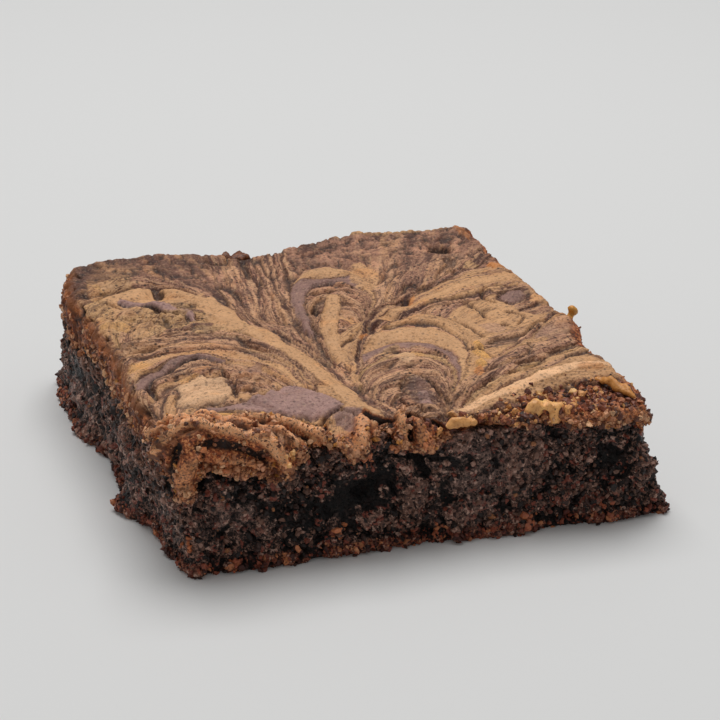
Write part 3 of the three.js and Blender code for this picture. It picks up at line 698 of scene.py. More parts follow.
# Folds where the crust rolled over the front edge, laid out flat: x, and mm behind the rim or, below 0, down
# the front. Each has a path, half width, height, and how much lighter it is.
folds = [
    ([(-38.6, -10.5), (-39.0, -6), (-38.9, -2), (-36.6, 0.2), (-33.9, 0.6), (-31, -0.4), (-27.4, -0.2),
      (-23.9, -0.5), (-21.1, -2.3), (-19.9, -5.7)], 0.9, 1.5, 1.0),
    ([(-39.6, 3.0), (-36.6, 4.8), (-33.3, 4.6), (-28.4, 4.6), (-23.6, 5.0), (-19.6, 4.6), (-15.9, 1.9),
      (-13.4, -1.0), (-12.6, -3.0)], 0.85, 1.3, 1.0),
    ([(-37.6, 2.4), (-31, 2.9), (-25, 2.9), (-20.6, 1.6), (-18.4, -1.0)], 0.7, 1.0, 0.5),
    ([(-35.4, -10), (-35.8, -7.5), (-34.8, -4.8), (-33, -3.4)], 1.1, 1.3, 0.3),
    ([(-30.5, -6.8), (-26, -6.2), (-22.6, -6.6)], 0.9, 0.9, 0.5),
    ([(-31, -4.6), (-27, -4.4), (-23, -4.8)], 0.7, 0.7, 0.3),
    ([(-11.8, 4.0), (-9.4, 4.4), (-7.4, 3.4)], 1.9, 0.8, 0.0),
    ([(-12.0, -2.2), (-10.2, -3.2), (-8.0, -1.6), (-7.4, 1.0)], 1.2, 1.2, 0.45),
    ([(-1.3, 0.2), (-1.6, -2.6), (-3.2, -5.2)], 1.0, 1.5, 0.6),
    ([(1.2, -1.6), (2.2, -3.4), (4.4, -5.0)], 1.5, 1.6, 0.3),
    ([(10, -1.2), (14, -1.4), (18.5, -1.6)], 0.8, 0.8, 0.3),
    ([(25, -1.0), (29, -1.8), (34, -1.8), (38, -2.4)], 1.2, 1.0, 0.2),
]

# Gaps and fissures between them: a path, half width and depth. The depth also darkens them, as painted shade.
gaps = [
    ([(-33.4, -5.4), (-33.2, -3.0), (-30.4, -2.2), (-26.6, -2.4), (-23.8, -3.4)], 0.7, 1.0),
    ([(-37.0, -9.5), (-37.1, -5.5), (-36.4, -2.4)], 0.6, 1.3),
    ([(-38, 1.4), (-32.2, 1.6), (-26, 1.3), (-22.6, 0.6)], 0.5, 1.1),
    ([(-37.4, 3.8), (-31, 3.9), (-25, 3.9), (-19.6, 3.0), (-16.6, -0.2), (-15.4, -3.6)], 0.6, 1.3),
    ([(-21.6, 6.6), (-16, 4.2), (-13.6, 1.0)], 0.4, 0.9),
    ([(-5.6, 1.6), (-3.8, 0.0), (-4.2, -2.6)], 1.5, 2.4),
    ([(-6.8, -2.6), (-6.2, -4.2)], 0.7, 1.5),
    ([(-0.2, 0.4), (-0.2, -3.2)], 0.45, 1.8),
    ([(0.2, 0.6), (2.6, 0.3), (5.0, -0.5)], 0.6, 1.5),
    ([(21.2, -0.2), (21.5, -1.8)], 0.8, 1.4),
    ([(12.6, -0.2), (12.9, -1.6)], 0.4, 0.8),
    ([(-12.8, 2.6), (-13.4, -0.4)], 0.45, 1.0),
]

# How far back the folds reach, in y, and how ragged they are: share, cell and seed.
foldsTo = -31
foldRagged = ((0.6, 1.8, 311), (0.4, 0.8, 312))


def foldShape(x, y, z):
    # how far the folds and gaps move the skin, and how much lighter the folds leave it; the gaps go darker by
    # their depth, which the crust's shader paints as shade
    rim = block["height"] - follow(frontDrop, x)
    behind = np.minimum(z - rim, 0) + np.maximum(y - follow(outline["frontTop"], x) - 0.4, 0)
    rise, lighter = np.zeros(x.shape), np.zeros(x.shape)
    near = y < foldsTo
    u, v = x[near], behind[near]
    solid = (x[near], y[near], z[near])
    rough = sum(share * noise(*(w / cell for w in solid), seed) for share, cell, seed in foldRagged)
    up, light = np.zeros(u.shape), np.zeros(u.shape)
    for path, half, height, gain in folds:
        away = np.abs(nearest(u, v, drawnLine(path, 6))[0]) / half
        share = 1 - step(0.3, 1.35, away + 0.35 * rough)
        up = np.maximum(up, height * share)
        light = np.maximum(light, gain * share)
    for path, half, depth in gaps:
        away = np.abs(nearest(u, v, drawnLine(path, 6))[0]) / half
        share = 1 - step(0.3, 1.3, away + 0.3 * rough)
        up -= depth * share
        # gaps go darker by their depth: painted shade
        light -= depth * share
    rise[near], lighter[near] = up, light
    return rise, lighter


# How far down the crust comes on the front, by x.
frontCrust = [(-40, 12.5), (-35, 13), (-33, 16.5), (-24, 15.8), (-20, 14.5), (-17, 17.5), (-13, 18.5),
              (-9, 17.2), (-7, 19.5), (-3, 18.2), (2, 16.2), (5, 17.6), (8, 19.2), (19, 18.4), (24, 17.6),
              (32, 17.2), (39, 16.6)]


def crustEdge(x, y, z, atFront):
    # how low the crust hangs: it wanders round the sides, follows its own line on the front, and is ragged
    edge = crust["from"] + crust["wander"] * noise(x / crust["cell"], y / crust["cell"], 0.5, 31)
    edge += (follow(frontCrust, x) - edge) * atFront
    for (cell, height), seed in zip(form["crust"]["edgeCells"], (35, 36)):
        edge += height * noise(x / cell, y / cell, z / cell, seed)
    return edge


def solidRelief(x, y, z, onTop, onSide, inCrust, warp):
    # the solid's relief: waves, coarse crumbs, arches, lumps, hollows and pits
    cell, height = sideCrumbs
    coarse = np.abs(noise(*(w / cell for w in warp), 2)) * height - 0.3 * height
    out = onSide * (sideWaves[1] * noise(x / sideWaves[0], y / sideWaves[0], z / sideWaves[0], 1)
                    + coarse * (1 - 0.4 * inCrust))
    for (cell, height), seed in ((topWaves, 21), (topLumps, 22)):
        out += onTop * height * noise(x / cell, y / cell, z / cell, seed)
    out += onTop * swirlRelief(*laidFlat(x, y))
    for spot in lumps:
        out += spot[6] * bump(x, y, z, spot)
    for spot in hollows + drawSidePits():
        out -= spot[6] * bump(x, y, z, spot)
    return out, coarse


def grainRelief(own, warp, dense):
    # granules, finer than the solid has: round tops with sharp valleys between them, no two the same height
    crumble = np.zeros(dense.shape)
    for n, (cell, height) in enumerate(own["grains"]):
        away, number = granules(*(w / cell for w in warp), 201 + 10 * n)
        ball = np.sqrt(np.clip(1 - (away / 0.85) ** 2, 0, 1)) - 0.75 + 0.8 * (number - 0.5)
        crumble += height * ball * (1 - own["calm"][n] * dense)
    return crumble


def tornGrooves(x, y, z, facing, onSide, atFront):
    # narrow valleys of a noise stretched upright
    across = np.where(np.abs(facing[:, 0]) > 0.7, y, x)
    wavy = across / tears["apart"] + 0.5 * noise(across / 3, z / 3, 0.5, 46)
    groove = 1 - step(0, tears["narrow"], np.abs(noise(wavy, z / tears["tall"], 0.5, 47)))
    return groove * step(*tears["between"], z) * step(0.25, 0.6, onSide) * (1 - atFront)


def skinShape(nominal, kind):
    # rounded block, laid on the outline, then pushed out by the solid's relief, grains, crust and swirl
    own = form[kind]
    place, facing = roundedBlock(*nominal.T)
    at = onOutline(place)
    x, y, z = at.T
    onTop, onSide = np.clip(facing[:, 2], 0, 1), np.hypot(facing[:, 0], facing[:, 1])
    atFront = step(0.4, 0.8, -facing[:, 1])
    edge = crustEdge(x, y, z, atFront)
    inCrust = step(edge - 0.4, edge + 0.4, z)
    cell, height = crust["baseWander"]
    inBase = 1 - step(crust["baseUpTo"] - crust["soft"], crust["baseUpTo"] + crust["soft"],
                      z + height * noise(x / cell, y / cell, z / cell, 37))

    # the grains and coarse crumbs are bent a little out of their lattice
    warp = [v + 0.9 * noise(x / 3.3, y / 3.3, z / 3.3, seed) for v, seed in ((x, 43), (y, 44), (z, 45))]
    out, coarse = solidRelief(x, y, z, onTop, onSide, inCrust, warp)
    dense = np.clip(sum(bump(x, y, z, spot) for spot in densePatches) * 1.3, 0, 1)
    crumble = grainRelief(own, warp, dense) * (1 - own["sideCalm"] * onSide * (1 - atFront))
    groove = tornGrooves(x, y, z, facing, onSide, atFront)
    out -= tears["depth"] * groove
    values = {"inCrust": inCrust, "inBase": inBase, "onTop": onTop, "dense": dense}

    if kind == "crust":
        # the swirl runs on over the rim, as if the skin were laid out flat
        fold = np.clip(block["height"] - place[:, 2], 0, None) * onSide
        look, streak, strands, holes = swirl(*laidFlat(x + facing[:, 0] * fold, y + facing[:, 1] * fold))
        topGrain = sum(h * layered(x / c, y / c, z / c, 231, 2) for c, h in own["topGrain"])
        rise = look[:, 4] + strands - holes + topGrain
        lift, lighter = foldShape(x, y, z)
        lift = lift * inCrust
        over(look[:, :3], tones["fold"][:3], 0.7 * np.clip(lighter, 0, 1))
        folded = np.clip(np.abs(lighter) * 1.6, 0, 1) * inCrust
        onTop = onTop * (1 - 0.9 * folded)
        out += onSide * (crust["proud"] * inCrust - own["tuck"] * (1 - inCrust)) + onTop * rise + lift
        out += np.maximum(onSide, folded) * crumble
        # low grains and tears give a low crumble, which the crust's shader paints with shade
        crumble = np.maximum(onSide, folded) * (crumble - 0.4 * groove) + onTop * strands
        values.update(onTop=onTop, tone=look[:, :3], strands=look[:, 3], streak=streak, lighter=lighter,
                      crumble=crumble, edgeGap=z - edge, atLeft=step(0.3, 0.8, -facing[:, 0]))
    else:
        gentle = crust["proud"] * step(edge - 7, edge, z) * (1 - atFront)     # no step but at the front
        out += onSide * (crust["baseProud"] * inBase + crumble + gentle - own["tuck"] * inCrust)
        pits = sum(spot[6] * bump(x, y, z, spot) for spot in hollows)
        crumble = crumble + 0.6 * coarse
        # the crumble value is low in hollows and tears, for painted shade, and high on lumps, for painted
        # highlights
        values.update(crumble=(crumble - crumble.mean()) / crumble.std() - 1.2 * pits - 1.5 * groove,
                      fade=step(4, 15, z) * (1 - atFront), pitted=np.clip(pits, 0, 1))
    return at + facing * out[:, None], facing, values


def roundRings(spacing, high, low, withTop):
    # points of the plain block: a grid over the top if wanted, and rings down the sides from high to low
    across, deep = (int(round(block[name] / spacing)) for name in ("width", "depth"))
    gridX = (np.arange(across + 1) / across - 0.5) * block["width"]
    gridY = (np.arange(deep + 1) / deep - 0.5) * block["depth"]
    gx, gy = np.meshgrid(gridX, gridY, indexing="ij")
    top = np.stack([gx.ravel(), gy.ravel(), np.full(gx.size, block["height"])], 1)
    index = np.arange(gx.size).reshape(gx.shape)
    rim = np.concatenate([index[:-1, 0], index[-1, :-1], index[:0:-1, -1], index[0, :0:-1]])
    rows = int(round((high - low) / spacing))
    heights = np.linspace(high, low, rows + 1)[1 if withTop else 0:]
    sides = np.tile(top[rim], (len(heights), 1))
    sides[:, 2] = np.repeat(heights, len(rim))
    start = len(top) if withTop else 0
    rings = start + np.arange(len(sides)).reshape(len(heights), len(rim))
    if not withTop:
        return sides, [between(rings)], rings
    grid = np.stack([index[:-1, :-1], index[1:, :-1], index[1:, 1:], index[:-1, 1:]], -1).reshape(-1, 4)
    rings = np.vstack([rim, rings])
    return np.vstack([top, sides]), [grid, between(rings)], rings


def between(rings):
    # quads from each ring to the next one, facing out when the rings run down an outside
    a, b = rings[:-1], rings[1:]
    return np.stack([a, b, np.roll(b, -1, 1), np.roll(a, -1, 1)], -1).reshape(-1, 4)


def capped(points, faces, ring, count, height, up=False):
    # closes a ring: it is drawn in towards its middle in even steps, at a height worked out from x and y
    centre = points[ring].mean(0)
    shares = np.linspace(1, 0, count + 2)[1:-1]
    drawn = centre + (points[ring][None] - centre) * shares[:, None, None]
    drawn = np.vstack([drawn.reshape(-1, 3), [centre]])
    drawn[:, 2] = height(drawn[:, 0], drawn[:, 1])
    rings = np.vstack([ring, len(points) + np.arange(count * len(ring)).reshape(count, len(ring))])
    last = len(points) + len(drawn) - 1
    quads, final = between(rings), rings[-1]
    fanFaces = np.stack([final, np.full(len(final), last), np.roll(final, -1)], 1)
    if up:
        quads, fanFaces = quads[:, ::-1], fanFaces[:, ::-1]
    return np.vstack([points, drawn]), faces + [quads, fanFaces]


def meshObject(name, points, faces, values=None, smooth=True):
    # points in mm round the outline's own middle, and a list of face arrays
    mesh = bpy.data.meshes.new(name)
    corners = np.concatenate([f.ravel() for f in faces]).astype(np.int32)
    sizes = np.concatenate([np.full(len(f), f.shape[1]) for f in faces]).astype(np.int32)
    placed = (points - np.array([*block["middle"], 0])) * metre
    mesh.vertices.add(len(points))
    mesh.vertices.foreach_set("co", placed.astype(np.float32).ravel())
    mesh.loops.add(len(corners))
    mesh.loops.foreach_set("vertex_index", corners)
    mesh.polygons.add(len(sizes))
    mesh.polygons.foreach_set("loop_start", np.concatenate([[0], np.cumsum(sizes)[:-1]]).astype(np.int32))
    mesh.polygons.foreach_set("loop_total", sizes)
    mesh.update(calc_edges=True)
    mesh.polygons.foreach_set("use_smooth", np.full(len(sizes), smooth))
    for key, given in (values or {}).items():
        full = np.zeros((len(points),) + given.shape[1:])     # points of a cap keep 0
        full[:len(given)] = given
        if given.ndim == 2:
            layer = mesh.attributes.new(key, "FLOAT_COLOR", "POINT")
            full = np.concatenate([full, np.ones((len(full), 1))], 1)
            layer.data.foreach_set("color", full.astype(np.float32).ravel())
        else:
            layer = mesh.attributes.new(key, "FLOAT", "POINT")
            layer.data.foreach_set("value", full.astype(np.float32))
    mesh.validate()
    piece = bpy.data.objects.new(name, mesh)
    bpy.context.collection.objects.link(piece)
    return piece


basePits = {"cell": 3.0, "height": 0.25}     # shallow pits underneath, where the crust stuck and let go


def underside(x, y):
    # the height above the floor: a noise of which only the upper half shows
    return basePits["height"] * np.clip(noise(x / basePits["cell"], y / basePits["cell"], 0.5, 41), 0, 1)


def makeCrust():
    # the top's grid and rings down the sides, closed below out of sight
    own = form["crust"]
    nominal, faces, rings = roundRings(own["spacing"], own["from"], own["to"], True)
    at, facing, values = skinShape(nominal, "crust")
    low = own["to"] - own["cap"]
    points, faces = capped(at, faces, rings[-1], 4, lambda x, y: np.full(x.shape, low))
    return meshObject("swirled_crust", points, faces, values), at, facing, values


def makeCrumb():
    # rings down the sides, closed above out of sight and below by the underside, which is all base crust
    own = form["crumb"]
    nominal, faces, rings = roundRings(own["spacing"], own["from"], own["to"], False)
    at, facing, values = skinShape(nominal, "crumb")
    at[rings[-1], 2] = 0
    at[:, 2] = np.maximum(at[:, 2], 0)
    high = own["from"] - own["cap"]
    points, faces = capped(at, faces, rings[0], 4, lambda x, y: np.full(x.shape, high), up=True)
    count = len(points)
    points, faces = capped(points, faces, rings[-1], 9, underside)
    fill = np.zeros(len(points))
    fill[:len(at)] = values["inBase"]
    fill[count:] = 1
    values["inBase"] = fill
    return meshObject("fudge_crumb", points, faces, values), at, facing, values


def lumpShape():
    # one small lump of 32 faces: an octahedron with its edges halved, blown up to a ball
    corners, faces = [], []
    for x in (-1, 1):
        for y in (-1, 1):
            for z in (-1, 1):
                six = [(x, 0, 0), (x, y, 0), (0, y, 0), (0, y, z), (0, 0, z), (x, 0, z)]
                corners += [c for c in six if c not in corners]
                a, ab, b, bc, c, ca = (corners.index(v) for v in six)
                four = [(a, ab, ca), (ab, b, bc), (ca, bc, c), (ab, bc, ca)]
                faces += four if x * y * z > 0 else [f[::-1] for f in four]
    corners = np.array(corners, float)
    return corners / np.linalg.norm(corners, axis=1, keepdims=True), np.array(faces)


def turned(draw, count):
    # random turns: the matrix of a random unit quaternion
    q = draw.normal(size=(count, 4))
    w, x, y, z = (q / np.linalg.norm(q, axis=1, keepdims=True)).T
    rows = [[1 - 2 * (y * y + z * z), 2 * (x * y - w * z), 2 * (x * z + w * y)],
            [2 * (x * y + w * z), 1 - 2 * (x * x + z * z), 2 * (y * z - w * x)],
            [2 * (x * z - w * y), 2 * (y * z + w * x), 1 - 2 * (x * x + y * y)]]
    return np.array(rows).transpose(2, 0, 1)


# Bits: how many, their radii in mm, how deep they sit, and the shares of their tones. All lumps are knocked
# out of shape by the same range; a higher power makes more of them small.
lumpKnock = (0.5, 1.35)
bitsVary = {"power": 3.2, "tone": (0.8, 1.2)}
bits = {
    "crumb": {"name": "crumb_granules", "count": 5600, "radius": (0.18, 0.62), "sink": 0.5, "seed": 5,
        "palette": [(0.4, "#20130F"), (0.26, "#46302A"), (0.18, "#775648"), (0.08, "#7E4030"),
        (0.07, "#A88070"), (0.01, "#9A6440")]},
    "base": {"name": "base_granules", "count": 3000, "radius": (0.18, 0.6), "sink": 0.4, "seed": 6,
        "palette": [(0.28, "#452018"), (0.32, "#703626"), (0.2, "#984E36"), (0.1, "#2A1512"),
        (0.1, "#C07850")]},
    "corner": {"name": "corner_crumbs", "count": 1500, "radius": (0.2, 0.75), "sink": 0.45, "seed": 8,
        "palette": [(0.28, "#5E3022"), (0.26, "#86482F"), (0.18, "#B06C44"), (0.12, "#DA9A5C"),
        (0.05, "#EDB878"), (0.11, "#32190F")]},
    "crust": {"name": "crust_crumbs", "count": 5000, "radius": (0.18, 0.62), "sink": 0.5, "seed": 7,
        "palette": [(0.22, "#7C4A34"), (0.3, "#A46A48"), (0.26, "#C98E66"), (0.06, "#54301F"),
        (0.12, "#DEAB80"), (0.04, "#C6843F")]},
}


def joinLumps(name, centre, radius, tone, draw):
    # a lump at each centre, knocked out of shape, squeezed and turned, never below the floor
    count = len(centre)
    corners, faces = lumpShape()
    squeeze = draw.uniform(*lumpKnock, (count, 1, 3))
    knocked = corners * draw.uniform(*lumpKnock, (count, len(corners), 1)) * squeeze
    knocked = np.einsum("nij,nkj->nki", turned(draw, count), knocked) * radius[:, None, None]
    points = knocked + centre[:, None]
    points[..., 2] = np.maximum(points[..., 2], 0.0)
    joined = (faces[None] + len(corners) * np.arange(count)[:, None, None]).reshape(-1, 3)
    values = {"tone": np.repeat(tone, len(corners), 0)}
    return meshObject(name, points.reshape(-1, 3), [joined], values, smooth=False)


def makeBits(p, at, facing, weight):
    # lumps set on a skin where the weight is high, most of them small
    draw = np.random.default_rng(p["seed"])
    chosen = draw.choice(len(at), p["count"], p=weight / weight.sum())
    low, high = p["radius"]
    radius = low + (high - low) * draw.random(p["count"]) ** bitsVary["power"]
    centre = at[chosen] + facing[chosen] * (radius * (1 - 2 * p["sink"]))[:, None]
    palette = np.array([linear(code) for _, code in p["palette"]])
    share = np.array([share for share, _ in p["palette"]])
    tone = palette[draw.choice(len(share), p["count"], p=share / share.sum())]
    tone = tone * draw.uniform(*bitsVary["tone"], (p["count"], 1))
    return joinLumps(p["name"], centre, radius, tone, draw)


# Clusters: small spots of peanut batter baked to crumbs. Each has a place, how far it spreads and a tone.
clusters = {"name": "peanut_crumbs", "seed": 12, "each": 9, "radius": (0.22, 0.62), "power": 1.6,
            "tone": (0.75, 1.2), "proud": 0.25, "spots": [
    (-19.7, -41.3, 18.6, 0.8, "#E8B070"), (-20.1, -41.6, 15.9, 0.8, "#D89868"),
    (-33.6, -41.4, 20.4, 0.7, "#C67A4E"), (-30.2, -41.6, 18.4, 0.8, "#BA6F48"),
    (-6.6, -41.2, 15.4, 0.6, "#C87A58"), (-11.8, -41.4, 4.0, 1.0, "#D07C52"),
    (-9.4, -41.4, 2.0, 1.1, "#D8946C"), (-35.4, -41.2, 5.2, 0.8, "#BC6C42"),
    (-24.5, -41.8, 17.0, 1.0, "#CF9470"), (-27.5, -41.8, 16.2, 1.0, "#C88A66"),
    (10.8, -41.0, 21.0, 0.9, "#EBB474"), (8.0, -41.0, 20.6, 0.8, "#DCA56E"),
    (16.8, -41.0, 21.0, 0.9, "#E0A468"), (13.6, -41.0, 20.6, 0.9, "#C88A58"),
    (28.4, -40.6, 20.6, 0.8, "#B5613C"), (31.0, -37.0, 21.2, 1.1, "#A86040"),
    (26.0, -37.5, 21.0, 1.1, "#B87A50"), (-3.0, -41.0, 17.0, 0.9, "#C98058"),
    (2.6, -41.2, 18.4, 0.9, "#C07850"), (-13.5, -41.2, 19.6, 0.9, "#D09A72"),
    (19.5, -41.4, 2.0, 1.2, "#B86848"), (-28.0, -41.4, 1.6, 1.2, "#B46040"),
    (4.5, -41.6, 1.8, 1.0, "#A85C3E"), (33.0, -41.4, 2.2, 1.0, "#AE5F44"),
]}


def makeClusters(p, at, facing, shown):
    # a handful of lumps about each spot, each set on the nearest skin that shows
    draw = np.random.default_rng(p["seed"])
    chosen, tone = [], []
    for x, y, z, spread, code in p["spots"]:
        away = np.linalg.norm((at - (x, y, z)) * (1, 0.5, 1), axis=1) - 0.3
        weight = np.exp(-np.maximum(away / (0.8 * spread), 0) ** 2) * shown + 1e-12
        chosen.append(draw.choice(len(at), p["each"], p=weight / weight.sum()))
        tone.append(linear(code) * draw.uniform(*p["tone"], (p["each"], 1)))
    chosen = np.concatenate(chosen)
    low, high = p["radius"]
    radius = low + (high - low) * draw.random(len(chosen)) ** p["power"]
    centre = at[chosen] + facing[chosen] * (p["proud"] * radius)[:, None]
    return joinLumps(p["name"], centre, radius, np.vstack(tone), draw)


# Nubs: batter that baked proud of the skin. Each has a path in mm, half widths along it and a tone. The skin
# has so many sides and a ring every so many mm, and is roughened by shares and cells of noise.
rimRolls = {"name": "rim_nubs", "sides": 14, "every": 0.3, "across": (0.1, -0.9, 0.42),
            "rough": ((0.5, 1.3), (0.38, 0.6)), "mottle": ((0.2, 1.2), (0.15, 0.6)), "ropes": [
    ([(19.2, -40.6, 19.9), (20.2, -40.2, 20.7), (21.8, -39.9, 21.0), (23.2, -40.2, 20.6),
      (23.8, -40.8, 19.6), (24.2, -41.2, 18.4)], (1.05, 1.2, 1.15, 1.2, 1.2, 1.0), "#FAB872"),
    ([(5.6, -40.9, 19.9), (7.2, -41.0, 20.5), (9.0, -41.0, 20.4), (10.6, -41.1, 20.0)],
      (0.5, 0.85, 0.8, 0.5), "#E8A764"),
    ([(23.6, -41.2, 18.8), (25.0, -41.2, 19.2)], (0.8, 0.7), "#D9935A"),
    ([(-11.4, 41.4, 20.4), (-9.4, 41.5, 21.0), (-7.8, 41.4, 20.9), (-6.2, 41.6, 21.1),
      (-4.2, 41.6, 20.6)], (0.8, 1.2, 1.0, 1.25, 0.8), "#6B3F2A"),
    ([(33.6, -33.0, 21.5), (35.4, -35.4, 21.5), (36.9, -37.6, 21.1), (37.9, -39.8, 20.4)],
      (0.4, 0.75, 0.8, 0.45), "#D08E48"),
    ([(37.0, -9.6, 22.4), (38.6, -9.4, 22.6), (39.4, -9.0, 23.4), (39.7, -8.8, 24.6)],
      (0.7, 0.8, 0.75, 0.6), "#D8963C"),
    ([(38.4, -10.4, 21.4), (39.4, -9.6, 21.6)], (0.6, 0.7), "#B97A3A"),
]}


def makeRolls(p):
    # a ring of points round each path, its half width swelling from nothing and back along the rope, then
    # pushed about by two sizes of noise; a point at each end closes it
    points, faces, tone, start, sides = [], [], [], 0, p["sides"]
    for path, widths, code in p["ropes"]:
        line = drawnLine(path, 24)
        gone = np.concatenate([[0], np.cumsum(np.linalg.norm(np.diff(line, axis=0), axis=1))])
        t = np.linspace(0, 1, max(int(gone[-1] / p["every"]), 6))
        line = np.stack([np.interp(t, gone / gone[-1], line[:, k]) for k in range(3)], 1)
        half = np.interp(t, np.linspace(0, 1, len(widths)), widths)
        fromEnd = np.minimum(t, 1 - t) * gone[-1] + 0.08
        half = half * np.sqrt(np.clip(1 - (1 - np.minimum(fromEnd / half, 1)) ** 2, 0, 1))
        ahead = np.gradient(line, axis=0)
        ahead /= np.linalg.norm(ahead, axis=1, keepdims=True)
        across = np.cross(ahead, p["across"])
        across /= np.linalg.norm(across, axis=1, keepdims=True)
        up = np.cross(across, ahead)
        angle = np.linspace(0, 2 * np.pi, sides, endpoint=False)
        rings = across[:, None] * np.cos(angle)[None, :, None] + up[:, None] * np.sin(angle)[None, :, None]
        x, y, z = (line[:, None] + rings * half[:, None, None]).transpose(2, 0, 1)
        rough = np.ones(x.shape)
        for (share, cell), seed in zip(p["rough"], (301, 302)):
            rough += share * noise(x / cell, y / cell, z / cell, seed)
        skin = (line[:, None] + rings * (half[:, None] * rough)[..., None]).reshape(-1, 3)
        skin = np.vstack([skin, line[:1] - ahead[:1] * 0.06, line[-1:] + ahead[-1:] * 0.06])
        ring = start + np.arange(len(t) * sides).reshape(len(t), sides)
        first, last = start + len(t) * sides, start + len(t) * sides + 1
        startFan = np.stack([ring[0], np.roll(ring[0], -1), np.full(sides, first)], 1)
        endFan = np.stack([np.roll(ring[-1], -1), np.full(sides, last), ring[-1]], 1)
        faces += [between(ring)[:, ::-1], startFan, endFan]
        mottled = np.ones((len(skin), 1))
        for (share, cell), seed in zip(p["mottle"], (303, 304)):
            mottled += share * noise(*(skin / cell).T, seed)[:, None]
        tone.append(linear(code) * mottled)
        points.append(skin)
        start += len(skin)
    return meshObject(p["name"], np.vstack(points), faces, {"tone": np.clip(np.vstack(tone), 0, 1)})


def add(tree, kind, inputs=None, **settings):
    # one node with its settings; each input takes a value or a link from another node's output
    made = tree.nodes.new(kind)
    for key, value in settings.items():
        setattr(made, key, value)
    for key, value in (inputs or {}).items():
        if isinstance(value, bpy.types.NodeSocket):
            tree.links.new(value, made.inputs[key])
        else:
            made.inputs[key].default_value = value
    return made


def newMaterial(name):
    # a material, its node tree and its shader
    material = bpy.data.materials.new(name)
    material.use_nodes = True
    tree = material.node_tree
    return material, tree, tree.nodes["Principled BSDF"]


perMm = 1000.0     # the scale of a one millimetre pattern on Object coordinates, which are in metres


def attributes(tree, *names):
    # the mesh's own attributes: the tone is a colour, the others are numbers
    made = [add(tree, "ShaderNodeAttribute", attribute_name=name) for name in names]
    return [m.outputs["Color"] if m.attribute_name == "tone" else m.outputs["Fac"] for m in made]


def lay(tree, under, over, pattern, low, high, amount=1.0, where=None):
    # a colour laid over another as the pattern runs from low to high, up to an amount, less where it says
    run = {"Value": pattern, "From Min": low, "From Max": high, "To Max": amount}
    share = add(tree, "ShaderNodeMapRange", run, interpolation_type="SMOOTHSTEP").outputs[0]
    if where:
        share = add(tree, "ShaderNodeMath", {0: share, 1: where}, operation="MULTIPLY").outputs[0]
    return add(tree, "ShaderNodeMix", {0: share, 6: under, 7: over}, data_type="RGBA").outputs[2]


def layers(tree, p, colour, *rows):
    # colours of a look laid one over another: each row is the colour's name and what lay asks for
    for name, *rest in rows:
        colour = lay(tree, colour, rgba(p[name]), *rest)
    return colour


def finishSurface(tree, shader, p, colour, grain, height):
    # colour, a roughness that runs from low to high with the grain, and the fine relief
    low, high = p["roughness"]
    dull = {"Value": grain, "From Min": 0.3, "From Max": 0.7, "To Min": low, "To Max": high}
    relief = {"Strength": p["strength"], "Distance": p["relief"] * metre, "Height": height}
    tree.links.new(colour, shader.inputs["Base Color"])
    tree.links.new(add(tree, "ShaderNodeMapRange", dull).outputs[0], shader.inputs["Roughness"])
    tree.links.new(add(tree, "ShaderNodeBump", relief).outputs[0], shader.inputs["Normal"])
    shader.inputs["IOR"].default_value = p["ior"]


# Sizes are in mm, of the cells of each pattern; the grain and pores are drawn a little coarser than baked
# sugar, so that they show. The shadow and crevice colours are painted shade.
crustLook = {
    "streakWidth": 0.5, "streakRun": 6.0, "grain": 0.42, "pore": 1.2, "pit": 0.9, "lump": 2.4,
    "shadow": "#1A0B06", "creviceShade": "#4A2417", "cocoa": "#4E2D1F", "peanut": "#DBAD82", "rim": "#9A5A2C",
    "wall": "#5A2910", "sideDeep": "#3F1B0E", "side": "#A8552B", "sideLight": "#F0A066", "fold": "#FFBD8A",
    "roughness": (0.48, 0.76), "ior": 1.45, "relief": 0.30, "strength": 0.9,
}


